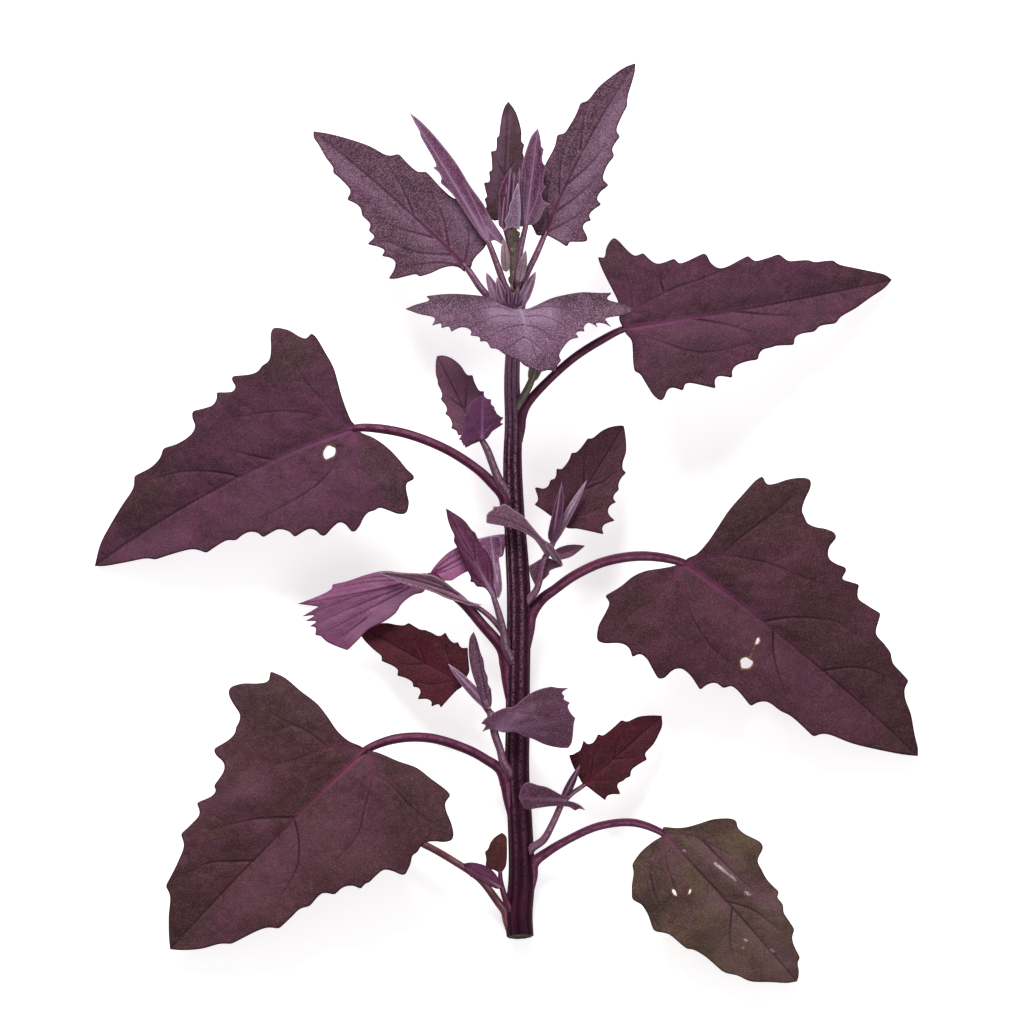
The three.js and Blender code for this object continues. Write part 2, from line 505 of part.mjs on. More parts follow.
const MIDDLE_LEFT_LOBES = [
  {
    base: [-17.6, -20, 21.6], tip: [-42.4, -19.5, 23.4], arch: 0.6, fold: 0.3, roll: -0.35,
    left: [[-10, 3.4], [-6, 3], [0, 1.4], [6, 0.9], [12, 0.7], [18, 0.6]],
    right: [[-10.4, 2.2], [-6, -0.6], [-2, -2.6], [4, -4], [10, -3.8], [16, -2.6], [21, -1.2]],
  },
  {
    base: [-27.4, -16.4, 19.2], tip: [-15.6, -9.2, 14.5], arch: 0.5, fold: 0.1,
    left: [[0.5, 1.4], [4, 2.2], [8, 1.6], [11, 0.9]],
    right: [[3.4, -5.2], [8, -7.6], [12.4, -8], [13.2, -5], [14.6, -2.6]],
  },
];

// A slender blade from a width alone
function slender({ base, tip, width, fold = 0.5, arch = 0.4 }) {
  const length = Math.hypot(tip[0] - base[0], tip[1] - base[1]);
  const shape = [[0.04, 0.6], [0.25, 1], [0.55, 0.95], [0.8, 0.6], [0.93, 0.25]];
  const half = shape.map(([t, w]) => [t * length, w * width]);
  return { base, tip, arch, fold, left: half, right: half.map(([s, w]) => [s, -w]) };
}

// Leafy side shoots: a little stem from the leaf axil, with the small leaves that it carries
const SIDE_SHOOTS = {
  side_shoot_upper_left: {
    colour: COLOURS.shootLeaf,
    stems: [[
      [1.4, 10.6, 22.2, 1.3], [-2.4, 14.2, 24, 1.4], [-3.8, 17.5, 25, 1.4], [-6.3, 24.1, 27, 1.3],
      [-8.2, 27.6, 28, 1],
    ]],
    leaves: [
      {
        base: [-8.6, 27.2, 27], tip: [-22.7, 55.1, 22], arch: 1, fold: 0.15, curl: 0.008,
        left: [
          [-0.2, 0.8], [0, 2.5], [-0.1, 5.5], [1.2, 5.2], [2.4, 5.9], [3, 4.6], [4.6, 5.8], [7.9, 6.8],
          [8.8, 5.8], [13.1, 6.4], [13.6, 5.4], [18, 5.5], [18.8, 4.5], [23, 4.1], [26, 3.2],
          [28.5, 2],
        ],
        right: [
          [-0.4, -2.4], [0.6, -4.5], [2.5, -7.8], [5, -7.9], [7, -9], [8.5, -8], [10.3, -8.8],
          [12.5, -7.9], [14, -8.6], [14.5, -7.3], [20.4, -7.6], [21, -6.1], [25, -5.4], [28.5, -3.8],
          [30.5, -1.8],
        ],
      },
      {
        base: [-8, 27.4, 29], tip: [-7.6, 41.8, 33], arch: 1.2, fold: 0.15, roll: 0.1,
        left: [
          [-0.8, 3.5], [-2.2, 6.3], [-0.2, 7.6], [1, 6.7], [5, 5.9], [7, 6.1], [9, 5.3], [11, 4.7],
          [13, 3.2], [14.2, 1.5],
        ],
        right: [
          [0.3, -1.6], [2.5, -3], [5.5, -7.2], [5.8, -5.9], [7.6, -7.1], [8.4, -5], [9.5, -4.6],
          [11, -3.9], [11.8, -2.7], [13.5, -2.8], [14.3, -0.8],
        ],
      },
    ],
  },
  side_shoot_middle_right: {
    colour: COLOURS.shootLeaf,
    stems: [
      [
        [6.6, -25.4, 17, 1.1], [9.8, -22.4, 18.6, 1.1], [10.9, -19.4, 20, 1.1], [12.8, -11.5, 22.6, 1.1],
        [14.3, -9.4, 23, 1.1],
      ],
      [[13.6, -10.6, 22.8, 1], [15.4, -6.6, 22.6, 1], [18.5, -0.8, 21, 0.9], [26.4, 12, 19.6, 0.6]],
    ],
    leaves: [
      {
        base: [18.5, -0.8, 20.8], tip: [38.8, 32.1, 14], arch: 1.5, fold: 0.12, curl: 0.006,
        left: [
          [0.4, 1.8], [0.6, 4.5], [1, 11.5], [2.5, 11.1], [5.8, 14.3], [7, 11.7], [8.5, 10.8],
          [10.8, 11.2], [11.8, 10.2], [15, 11.5], [15.6, 10], [20, 9.5], [22, 10], [22.8, 8.8],
          [28.9, 7.9], [29.5, 6.8], [33.5, 5.2], [36, 3.5],
        ],
        right: [
          [0.2, -2.3], [1.5, -4.5], [3, -8.5], [4.6, -13.2], [6.2, -11.7], [7.5, -11.7], [10.5, -14],
          [11, -11.5], [12, -10.3], [15.9, -11.2], [16.3, -9.8], [19.8, -9.8], [21, -8.8],
          [25.9, -8.9], [26.2, -7.4], [28, -6.2], [31.5, -5.3], [34.5, -3.5],
        ],
      },
      {
        base: [15.1, -7, 24], tip: [18.3, 13.7, 27], arch: 1, fold: 0.5,
        left: [[1.8, 1.6], [6, 1.8], [12, 1.2], [16, 0.7]],
        right: [[2.7, -1.2], [7.7, -1.8], [12, -1.9], [15.3, -1.6], [18.3, -0.9]],
      },
      slender({ base: [14.8, -7.4, 24], tip: [26.6, 14.1, 24.5], width: 1.15, fold: -0.5 }),
      {
        base: [15.3, -10.4, 24], tip: [-6.5, 2.5, 27], arch: 1.6, bow: -3, fold: -0.12,
        left: [
          [2, 1.2], [5.9, -0.9], [8.4, -1.4], [12.4, -1.3], [15.1, -0.8], [19, 0.4], [21.9, 1.4],
          [24.1, 2.1],
        ],
        right: [
          [1.8, -2], [5.1, -2.8], [10.2, -4.4], [14.6, -5.9], [18.8, -6.3], [22.3, -6.2], [23.5, -5.2],
          [24.8, -3.7],
        ],
      },
      {
        base: [14.6, -11, 22.6], tip: [26.1, -7.5, 18], arch: 0.5, fold: 0.4,
        left: [[0.8, 1], [3.4, 1.9], [6.6, 1.9], [9.1, 1.3]],
        right: [[0.5, -1.2], [2, -1.9], [6.1, -2.2], [9.1, -1.3]],
      },
      {
        base: [13.6, -11.4, 21.4], tip: [9.6, -20.8, 18.6], arch: 0.3, fold: 0.1,
        left: [[-0.2, 2.2], [-0.2, 4.3], [0.8, 5.8], [2, 4.1], [4, 2.4], [4.8, 2.8], [8.6, 1.1]],
        right: [[1, -1.6], [3.7, -3.6], [4.9, -4.6], [7.4, -3]],
      },
    ],
  },
  side_shoot_middle_left: {
    colour: COLOURS.underside,
    stems: [[
      [3, -47.5, 15.4, 1.2], [-0.2, -41, 18, 1.3], [-0.9, -36.1, 19.6, 1.3], [-2.4, -30.1, 22, 1.2],
      [-4.4, -23.6, 24, 0.9],
    ]],
    leaves: [
      {
        base: [-3.4, -25.4, 23.4], tip: [-19.9, 4.9, 22], arch: 2, fold: -0.3,
        left: [
          [1.5, 0.8], [3.5, 0.9], [5.5, 1.5], [7, 3.5], [9.3, 4.7], [10.3, 3.8], [16, 3.3], [24, 2.9],
          [24.8, 2], [28, 1.7], [31, 1.2],
        ],
        right: [
          [1.5, -1], [5, -1.6], [8, -3.2], [12, -4.9], [18, -4.4], [23, -4.7], [23.5, -4.2],
          [28, -3.4], [31, -2],
        ],
      },
      {
        base: [-2.5, -25, 22.6], tip: [-5.1, -4.2, 18.6], arch: 0.5, fold: 0.1,
        left: [[0.8, 0.8], [4.5, 2.3], [11.4, 3.9], [17.5, 4.6], [20.5, 3.8]],
        right: [[1.5, -1], [3.8, -1.7], [9.3, -1.9], [13.7, -2], [14.6, -3.2], [20.6, -3]],
      },
    ],
  },
  side_shoot_lower_left: {
    colour: COLOURS.shootLeaf,
    stems: [
      [
        [2.2, -84.6, 12, 1.2], [-1, -78.9, 14.2, 1.3], [-2, -75, 15.4, 1.35], [-3.7, -70, 16.8, 1.4],
        [-5.3, -62.4, 18, 1.3],
      ],
      [[-5.3, -62.8, 17.8, 1.2], [-9.6, -57, 18, 1], [-14, -53.2, 17.4, 0.8], [-24, -47.6, 16.4, 0.6]],
    ],
    leaves: [
      {
        base: [-14, -53.2, 17.2], tip: [-48.4, -34, 7.5], arch: 1, fold: 0.12, curl: 0.006,
        left: [
          [0.2, 1.6], [1.8, 6], [2.8, 10.6], [3.8, 9.8], [5.8, 11.8], [6.3, 10.4], [10.9, 11.8],
          [11.3, 9], [14.2, 9], [15, 7.8], [20.6, 8.3], [21.2, 6.6], [27.5, 6.6], [28, 5.4], [32, 4.5],
          [36.5, 3.1],
        ],
        right: [
          [0.3, -2.8], [2, -7], [4.7, -11.3], [6.2, -10.2], [8.5, -11.4], [11, -10.5], [13.7, -12],
          [15.3, -9.7], [17.8, -9.2], [25.8, -8.8], [26.5, -7.5], [29, -6.2], [32, -5.2], [37, -1.8],
        ],
      },
      slender({ base: [-5.4, -61.4, 19.2], tip: [-19.4, -46.4, 21], width: 1.15, fold: -0.5 }),
      {
        base: [-5.6, -61.8, 18.8], tip: [-10.7, -35.9, 17.6], arch: 1, fold: 0.35,
        left: [[0.5, 1.1], [7.6, 2.4], [13.6, 3.2], [19.7, 3], [22.9, 2.3], [25, 1.5]],
        right: [[1.8, -1.2], [6.8, -2], [8.7, -1.3], [10.8, -1.7], [16.8, -1.4], [23.3, -0.6]],
      },
      {
        base: [-3.1, -68.5, 19], tip: [22.9, -64.4, 22], arch: 2.4, fold: -0.12, curl: 0.004,
        left: [
          [-2, 0.8], [-4.9, 0.3], [-3.4, 2.6], [-4.9, 3], [-3, 4.6], [-0.3, 5.9], [3.9, 7], [6.5, 6.9],
          [10.3, 9.1], [13.4, 10.6], [16.8, 11.4], [20.2, 11.6], [25.7, 10.2], [23.2, 8.9],
          [24.1, 7.6], [23.4, 7], [25.5, 5.3], [24.5, 4.5],
        ],
        right: [
          [1.7, -0.9], [6.1, -1.5], [8.4, -3.2], [11.2, -4.5], [14.9, -7], [19.7, -8.9], [22.4, -9.4],
          [23.7, -8], [24.7, -5.1],
        ],
      },
    ],
  },
  side_shoot_lower_right: {
    colour: COLOURS.shootLeaf,
    stems: [
      [[6.8, -111, 9.4, 1.1], [12.3, -104.6, 11, 1.2], [15.1, -99.7, 12.6, 1.2], [18.4, -92.4, 14.4, 1.1]],
      [[18, -93, 14.2, 1], [21.6, -89.4, 14.4, 0.9], [25.6, -86.6, 13.8, 0.8], [33, -80, 12.8, 0.6]],
    ],
    leaves: [
      {
        base: [25.6, -86.6, 13.6], tip: [51.4, -63.7, 8], arch: 1.2, fold: 0.12, curl: 0.006,
        left: [
          [0.2, 1.5], [1.5, 7], [3, 10.8], [3.8, 10], [6.5, 9.4], [9.8, 11.2], [10, 9.3], [11.5, 8.5],
          [14.8, 9.5], [15.5, 8.2], [23.7, 7.8], [24.5, 6.3], [28.5, 4.9], [31, 3.2],
        ],
        right: [
          [0.5, -1], [1.1, -4], [2, -8.5], [3.3, -7.8], [7.1, -10.3], [8.1, -7.5], [9.2, -7.1],
          [13.5, -8.1], [15, -6.8], [21.3, -7.6], [22, -5.8], [26.2, -5.2], [30, -3.8],
        ],
      },
      slender({ base: [18.4, -92.2, 14.8], tip: [24.8, -79.8, 17.4], width: 1.1, fold: -0.5 }),
      {
        base: [19.7, -91.5, 15.2], tip: [4.2, -90.7, 15.6], arch: 1, fold: -0.06,
        left: [
          [-3, 0.6], [-5, 1.5], [-6.7, 3.1], [-4.5, 2.6], [-3.3, 3.4], [-1.1, 2.2], [4, 2.2],
          [6.5, 2.6], [10.5, 3.4], [12, 3.8], [13.7, 3.2], [14.7, 1.5],
        ],
        right: [
          [-1.2, -1], [1.5, -1.7], [6.5, -4], [9.5, -4.5], [11.5, -5.1], [13.5, -5.1], [14.3, -4.3],
          [15.2, -2.2],
        ],
      },
    ],
  },
  side_shoot_lowest_left: {
    colour: COLOURS.shootLeaf,
    stems: [[[3, -129.6, 8, 1], [-0.2, -124.4, 8.8, 1], [-1.8, -118.6, 9.8, 0.9], [-2, -114.8, 10.4, 0.7]]],
    leaves: [
      {
        base: [-2, -115.8, 10.4], tip: [-1.4, -102.3, 11.2], arch: 0.6, fold: -0.12,
        left: [[0.8, 1.5], [2.2, 4.8], [4.5, 4.8], [7, 5.4], [7.8, 4.4], [10, 3.7], [12, 2.2]],
        right: [[1, -1], [2.5, -1.8], [9, -1.9], [12.5, -1.4]],
      },
      {
        base: [-1.4, -120.6, 10.2], tip: [-14.2, -112.5, 12.6], arch: 0.8, fold: 0.2,
        left: [[1, 1], [5, 1.7], [9.6, 2.1], [10.6, 2.5], [12.8, 1.6]],
        right: [[1, -1], [3.6, -2.6], [7.2, -3.5], [10.6, -2.9], [13.4, -1.6]],
      },
    ],
  },
  side_shoot_upper_right: {
    colour: COLOURS.bud,
    stems: [[
      [3, 39.6, 26.8, 1.1], [6.2, 42.6, 28.8, 1.2], [8.5, 47.4, 30.4, 1.2], [10.2, 52.6, 31.8, 0.9],
    ]],
    leaves: [slender({ base: [8.3, 46.6, 30.6], tip: [13.4, 62, 34], width: 2.2, fold: 0.4 })],
  },
};

// The growing tip: its axis, the two bud scales on it and a young leaf still upright
const GROWING_TIP = {
  axis: [[3.3, 75.5, 34.4, 1.9], [2.9, 83.5, 37.6, 1.9], [2.9, 91.7, 41.2, 1.8], [2.1, 96.8, 44, 1.5]],
  scales: [
    { base: [1.8, 81.4, 38.2], tip: [-1.5, 93.2, 42], width: 1.6, fold: 0.5, arch: 0.8 },
    { base: [3.8, 79.6, 37.6], tip: [6.9, 89.7, 42], width: 1.4, fold: 0.5, arch: 0.8 },
  ],
  youngLeaf: {
    base: [2.3, 95.6, 44.6], tip: [1.8, 117.1, 46.5], arch: 0.8, fold: 0.3,
    left: [[0, 3.3], [3.6, 2.6], [5.5, 2], [9, 2.4], [15, 4], [18, 2.8], [20, 1]],
    right: [[0, -2.3], [4, -2.5], [8, -2.6], [15, -3.2], [19, -2.2]],
  },
};

// The stem's own ridged solid, and rounder, fatter copies that cut clearance for what grows from it
const stemShape = { sides: 2 * STEM_RIDGES, stations: STEM_STATIONS };
const stemSolid = rod(STEM_LINE, { ...stemShape, ridge: STEM_RIDGE_HEIGHT });
const stemClearance = rod(STEM_LINE, { ...stemShape, extra: FIT_GAP });

// Stalk clearances are cut from whatever is made later and passes close by
const stalkClearances = [];
function clearOfNeighbours(solid) {
  const cutters = [stemClearance, ...stalkClearances];
  return largestOf(cutters.reduce((rest, clearance) => rest.subtract(clearance), solid));
}

const shoot = new THREE.Group();
shoot.name = 'red_orache_shoot';

function addNode(name, solid, colour) {
  const mesh = new THREE.Mesh(geometryOf(solid), material(colour));
  mesh.name = name;
  shoot.add(mesh);
}

function addLeaf(name, leaf, colour, extras = []) {
  const whole = union([leafSolid(leaf), ...extras]);
  addNode(name, clearOfNeighbours(whole), colour);
  stalkClearances.push(stalkAndMidrib(leaf, FIT_GAP));
}

addNode('main_stem', stemSolid, COLOURS.stem);
addLeaf('leaf_lower_left', LOWER_LEFT, COLOURS.darkLeaf);
addLeaf('leaf_upper_left', UPPER_LEFT, COLOURS.darkLeaf);
addLeaf('leaf_lower_right', LOWER_RIGHT, COLOURS.oliveLeaf);
addLeaf('leaf_middle_right', MIDDLE_RIGHT, COLOURS.darkLeaf);
addLeaf('leaf_upper_right', UPPER_RIGHT, COLOURS.darkLeaf);
addLeaf('leaf_lowest_left', LOWEST_LEFT, COLOURS.darkLeaf);
addLeaf('leaf_middle_left', MIDDLE_LEFT, COLOURS.underside, MIDDLE_LEFT_LOBES.map((lobe) => blade(lobe)));
addLeaf('leaf_top_left', TOP_LEFT, COLOURS.mealyLeaf);
addLeaf('leaf_top_back', TOP_BACK, COLOURS.mealyLeaf);
addLeaf('leaf_top_right', TOP_RIGHT, COLOURS.mealyLeaf);
addLeaf('leaf_top_left_narrow', TOP_LEFT_NARROW, COLOURS.underside);
addLeaf('leaf_top_middle', TOP_MIDDLE, COLOURS.underside);

const axilRoot = [4.2, 67.4, 37.4, 0.8];
const axilLeaves = AXIL_LEAVES.flatMap((leaf) => [
  blade(slender(leaf)),
  rod([axilRoot, [...leaf.base, 0.7], [...leaf.tip.map((c, i) => (c + 2 * leaf.base[i]) / 3), 0.5]]),
]);
addLeaf('leaf_top_front', TOP_FRONT, COLOURS.lilacLeaf, axilLeaves);

for (const [name, { colour, stems, leaves }] of Object.entries(SIDE_SHOOTS)) {
  const pieces = [...stems.map((line) => rod(line)), ...leaves.map((leaf) => blade(leaf))];
  addNode(name, clearOfNeighbours(union(pieces)), colour);
}

const tipPieces = [
  rod(GROWING_TIP.axis, { sides: 8 }),
  ...GROWING_TIP.scales.map((scale) => blade(slender(scale))),
  blade(GROWING_TIP.youngLeaf),
];
addNode('growing_tip', clearOfNeighbours(union(tipPieces)), COLOURS.bud);

export default shoot;
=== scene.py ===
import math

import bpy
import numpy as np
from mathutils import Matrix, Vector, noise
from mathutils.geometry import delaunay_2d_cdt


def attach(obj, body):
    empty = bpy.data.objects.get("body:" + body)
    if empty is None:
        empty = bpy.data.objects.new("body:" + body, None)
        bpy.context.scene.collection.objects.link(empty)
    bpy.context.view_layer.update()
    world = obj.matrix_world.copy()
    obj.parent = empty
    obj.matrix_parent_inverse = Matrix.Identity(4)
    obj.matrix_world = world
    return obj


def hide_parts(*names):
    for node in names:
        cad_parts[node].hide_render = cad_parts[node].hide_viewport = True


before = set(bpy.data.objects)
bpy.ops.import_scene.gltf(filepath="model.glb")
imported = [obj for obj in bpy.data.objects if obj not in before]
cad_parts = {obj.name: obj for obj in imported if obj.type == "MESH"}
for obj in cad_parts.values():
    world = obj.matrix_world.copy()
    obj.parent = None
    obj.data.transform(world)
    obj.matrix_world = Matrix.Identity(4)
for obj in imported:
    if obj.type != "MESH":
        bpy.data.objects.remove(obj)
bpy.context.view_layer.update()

# %% [markdown]
# # A cut shoot of red orache
# Red orache is a leafy garden plant. Its stem is ribbed and burgundy, its leaves are toothed, triangular and
# dusted with a fine meal, and every leaf has a smaller leafy shoot in its axil. The shoot lies on a table and
# the camera looks down on it. Lengths below are millimetres where nothing else is said; they turn into metres
# when a mesh is made.

MM = 0.001

# %% [markdown]
# ## The camera, the table and the light
# The picture takes in 338 mm. A long lens far away keeps the high leaves and the low ones to the same scale;
# a camera without perspective would do so too, but no real one is made that way. The table is a lit white
# panel, so the shadows on it stay faint, and the key light comes from beyond the growing end.

# %% Camera
VIEW_CENTRE = (1.93, 3.6)
VIEW_WIDTH = 337.9
# the height at which the picture has that width
VIEW_PLANE = 18.0
LENS = 800.0
SENSOR = 36.0
# nearest and farthest that the camera sees, in metres
CLIP_START = 0.1
CLIP_END = 10.0

camera_data = bpy.data.cameras.new("camera_above")
camera_data.lens = LENS
camera_data.sensor_width = SENSOR
camera_data.clip_start = CLIP_START
camera_data.clip_end = CLIP_END
camera_height = VIEW_WIDTH * LENS / SENSOR + VIEW_PLANE
camera = bpy.data.objects.new("camera_above", camera_data)
camera.location = (VIEW_CENTRE[0] * MM, VIEW_CENTRE[1] * MM, camera_height * MM)
bpy.context.scene.collection.objects.link(camera)
bpy.context.scene.camera = camera
bpy.context.scene.view_settings.view_transform = "Standard"
print("camera height in mm", round(camera_height))


# %% Colour and node helpers
def linear(code):
    """An sRGB hex value, such as "4a303a", as linear light."""
    channels = [int(code[i : i + 2], 16) / 255 for i in (0, 2, 4)]
    return (*[c / 12.92 if c <= 0.04045 else ((c + 0.055) / 1.055) ** 2.4 for c in channels], 1.0)


def add_node(material, kind, links=(), values=(), **settings):
    """Adds a node: settings are its properties, values its input values, links what its inputs come from."""
    node = material.node_tree.nodes.new(kind)
    for name, value in settings.items():
        setattr(node, name, value)
    for socket, value in dict(values).items():
        node.inputs[socket].default_value = value
    for socket, (source, output) in dict(links).items():
        material.node_tree.links.new(source.outputs[output], node.inputs[socket])
    return node


def new_material(name):
    """An empty node material."""
    material = bpy.data.materials.new(name)
    material.use_nodes = True
    material.node_tree.nodes.clear()
    return material


# %% Table of white opal sheet, lit from inside
# opal acrylic is cast with a milky filler, so it glows evenly, has no sharp reflection and swallows shadows
PANEL_GLOW = 0.6
PANEL_ROUGHNESS = 0.9
# half the side of the panel, in metres
PANEL_REACH = 3

panel_material = new_material("white_light_panel")
panel_look = {
    "Base Color": linear("f7f6f6"),
    "Roughness": PANEL_ROUGHNESS,
    "Emission Color": linear("ffffff"),
    "Emission Strength": PANEL_GLOW,
}
panel_shader = add_node(panel_material, "ShaderNodeBsdfPrincipled", values=panel_look)
add_node(panel_material, "ShaderNodeOutputMaterial", {"Surface": (panel_shader, "BSDF")})
panel_mesh = bpy.data.meshes.new("light_panel")
corners = [(x * PANEL_REACH, y * PANEL_REACH, 0) for x, y in ((-1, -1), (1, -1), (1, 1), (-1, 1))]
panel_mesh.from_pydata(corners, [], [(0, 1, 2, 3)])
panel_mesh.materials.append(panel_material)
panel = bpy.data.objects.new("light_panel", panel_mesh)
bpy.context.scene.collection.objects.link(panel)
print("panel side in m", 2 * PANEL_REACH)

# %% Two softboxes in a bright room
ROOM_LIGHT = 0.34
# name: place and size in metres, power in watts
SOFTBOXES = {
    "softbox_key": ((-0.35, 1.85, 1.5), 1.1, 60.0),
    "softbox_fill": ((0.9, -0.9, 2.0), 1.4, 8.0),
}

world = bpy.data.worlds.new("studio_air")
world.use_nodes = True
world.node_tree.nodes["Background"].inputs["Color"].default_value = (1.0, 1.0, 1.0, 1.0)
world.node_tree.nodes["Background"].inputs["Strength"].default_value = ROOM_LIGHT
bpy.context.scene.world = world
for name, (place, size, power) in SOFTBOXES.items():
    light = bpy.data.lights.new(name, "AREA")
    light.shape = "DISK"
    light.size = size
    light.energy = power
    lamp = bpy.data.objects.new(name, light)
    lamp.location = place
    lamp.rotation_euler = (-Vector(place)).to_track_quat("-Z", "Y").to_euler()
    bpy.context.scene.collection.objects.link(lamp)
print("softboxes", len(SOFTBOXES))

# %% [markdown]
# ## The leaf surface
# A blade is a thin sheet. Seen from above it has a toothed outline, and its height follows a few habits that
# real leaves have: it arches along the midrib, its halves fold up from the midrib and curl down again at the
# margin, and it waves a little. A flat plane could be bent by modifiers instead, but here each habit is one
# number, so one function gives any leaf its form.

# %% One law for the height of a blade
HABITS = ("arch", "bow", "fold", "curl", "roll", "wave")
# share of the length, to each side of the base, over which a blade starts to rise
BASE_BLEND = 0.15
# how far out from the midrib the waves reach their full height, and how far apart they are
WAVE_REACH = 20.0
RIPPLE_LENGTH = 25.0


def surface_of(leaf):
    """The blade's own frame: s runs from base to tip, w to its left. Gives length, midrib and place."""
    base = np.array(leaf["base"], float)
    tip = np.array(leaf["tip"], float)
    span = tip[:2] - base[:2]
    heading = np.array(leaf.get("heading", span / np.hypot(*span)), float)
    length = span @ heading
    lean = span @ np.array([-heading[1], heading[0]])
    arch, bow, fold, curl, roll, wave = (leaf.get(habit, 0.0) for habit in HABITS)
    ripple = leaf.get("ripple", RIPPLE_LENGTH)

    def midrib(s):
        t = np.clip(s / length, 0, 1)
        return lean * t + 4 * bow * t * (1 - t)

    def place(s, w):
        t = np.minimum(s / length, 1)
        blended = (t + BASE_BLEND) ** 2 / (4 * BASE_BLEND)
        soft = np.where(t > BASE_BLEND, t, np.where(t < -BASE_BLEND, 0, blended))
        out = w - midrib(s)
        waved = wave * np.minimum(np.abs(out) / WAVE_REACH, 1) * np.sin(2 * np.pi * s / ripple + np.sign(out))
        z = base[2] + (tip[2] - base[2]) * soft + 4 * arch * soft * (1 - soft)
        z = z + fold * np.abs(out) - curl * out**2 + roll * out + waved
        x = base[0] + heading[0] * s - heading[1] * w
        y = base[1] + heading[1] * s + heading[0] * w
        return np.stack([x, y, z], -1)

    return length, midrib, place


# %% Smooth lines through a few measured points
SMALLEST_GAP = 1e-9
# a leaf longer than this has blunter teeth
LONG_LEAF = 60


def smooth_line(points, step):
    """A smooth line through the points, as rows about step apart, both ends kept."""
    points = np.array(points, float)
    padded = np.vstack([2 * points[0] - points[1], points, 2 * points[-1] - points[-2]])
    rows = []
    for a, b, c, d in zip(padded, padded[1:], padded[2:], padded[3:]):
        gaps = [math.sqrt(max(np.linalg.norm(q - p), SMALLEST_GAP)) for p, q in ((a, b), (b, c), (c, d))]
        t1 = gaps[0]
        t2 = gaps[0] + gaps[1]
        t3 = sum(gaps)
        t = np.linspace(t1, t2, max(1, round(np.linalg.norm(c - b) / step)), endpoint=False)[:, None]
        ab = a + (b - a) * t / t1
        bc = b + (c - b) * (t - t1) / (t2 - t1)
        cd = c + (d - c) * (t - t2) / (t3 - t2)
        abc = ab + (bc - ab) * t / t2
        bcd = bc + (cd - bc) * (t - t1) / (t3 - t1)
        rows.append(abc + (bcd - abc) * (t - t1) / (t2 - t1))
    return np.vstack([*rows, points[-1:]])


def margin_line(start, marks, end, step):
    """One side of a blade. A mark with a third value is a sharp tooth tip; between those it is smooth."""
    runs, run = [], [start]
    for mark in marks:
        run.append(mark[:2])
        if len(mark) > 2:
            runs.append(run)
            run = [mark[:2]]
    runs.append([*run, end])
    return np.vstack([smooth_line(run, step)[:-1] for run in runs])


def blunted(line, length):
    """The line with its tooth tips blunted a little, twice on a long leaf."""
    for _ in range(1 + (length > LONG_LEAF)):
        line[1:-1] = 0.25 * line[:-2] + 0.5 * line[1:-1] + 0.25 * line[2:]
    return line


# %% [markdown]
# ## From an outline to a dense, veined mesh
# The outline is filled with small triangles by a Delaunay triangulation. Rows of points along each vein make
# its line crisp. Each point then learns how close it is to a vein, to the margin and to a hole, and the
# materials read those values. One could displace a plane instead, but real teeth need their own triangles.

# %% Distances, and what lies inside an outline
TINY = 1e-12
# points measured at a time, so that the tables of distances stay small
CHUNK = 4000


def inside_of(loops, points):
    """True for each point that lies inside the first loop and outside the others."""
    inside = np.zeros(len(points), bool)
    x, y = points[:, :1], points[:, 1:]
    for loop in loops:
        ax, ay = loop[:, 0], loop[:, 1]
        bx, by = np.roll(ax, -1), np.roll(ay, -1)
        rise = np.where(by == ay, TINY, by - ay)
        crosses = ((ay > y) != (by > y)) & (x < ax + (bx - ax) * (y - ay) / rise)
        inside ^= crosses.sum(1) % 2 == 1
    return inside


def nearest(points, starts, ends):
    """The distance of each point to each segment."""
    along = ends - starts
    square = np.maximum((along**2).sum(-1), TINY)
    blocks = []
    for i in range(0, len(points), CHUNK):
        block = points[i : i + CHUNK, None]
        t = np.clip(((block - starts) * along).sum(-1) / square, 0, 1)
        blocks.append(np.linalg.norm(block - starts - t[..., None] * along, axis=-1))
    return np.vstack(blocks)


def thin_out(points, kept, distance):
    """Adds to kept the points that are at least distance from all that it holds, by a grid of cells."""
    cells = {}
    for p in kept:
        cells.setdefault((int(p[0] // distance), int(p[1] // distance)), []).append(p)
    for p in points:
        i, j = int(p[0] // distance), int(p[1] // distance)
        near = (q for di in (-1, 0, 1) for dj in (-1, 0, 1) for q in cells.get((i + di, j + dj), ()))
        if all((p[0] - q[0]) ** 2 + (p[1] - q[1]) ** 2 >= distance**2 for q in near):
            cells.setdefault((i, j), []).append(p)
            kept.append(p)
    return kept


# %% Veins of a blade
# strength of a vein at its start and at its end
MIDRIB_STRENGTH = (1.0, 0.5)
SIDE_VEIN_STRENGTH = (0.9, 0.35)
BRANCH_STRENGTH = (0.42, 0.15)
# a vein that starts stronger than this is the midrib or a side vein
MAIN_VEIN = 0.5
MIDRIB_SEGMENTS = 60
SIDE_VEIN_STEP = 1.2
# a side vein that begins this near to the stalk runs on to it, and starts this far along the midrib
VEIN_START = 5.2
VEIN_ROOT = (0.3, 0.0)
# branches stand this far apart at most, and reach this share of that
WIDEST_SPACING = 6.5
BRANCH_REACH = 1.15
# the turn of a branch away from its vein and its bend back at each of its steps, in radians
BRANCH_TURN = 0.9
BRANCH_BEND = 0.16
BRANCH_STEPS = 4
BRANCH_GRID = 0.5


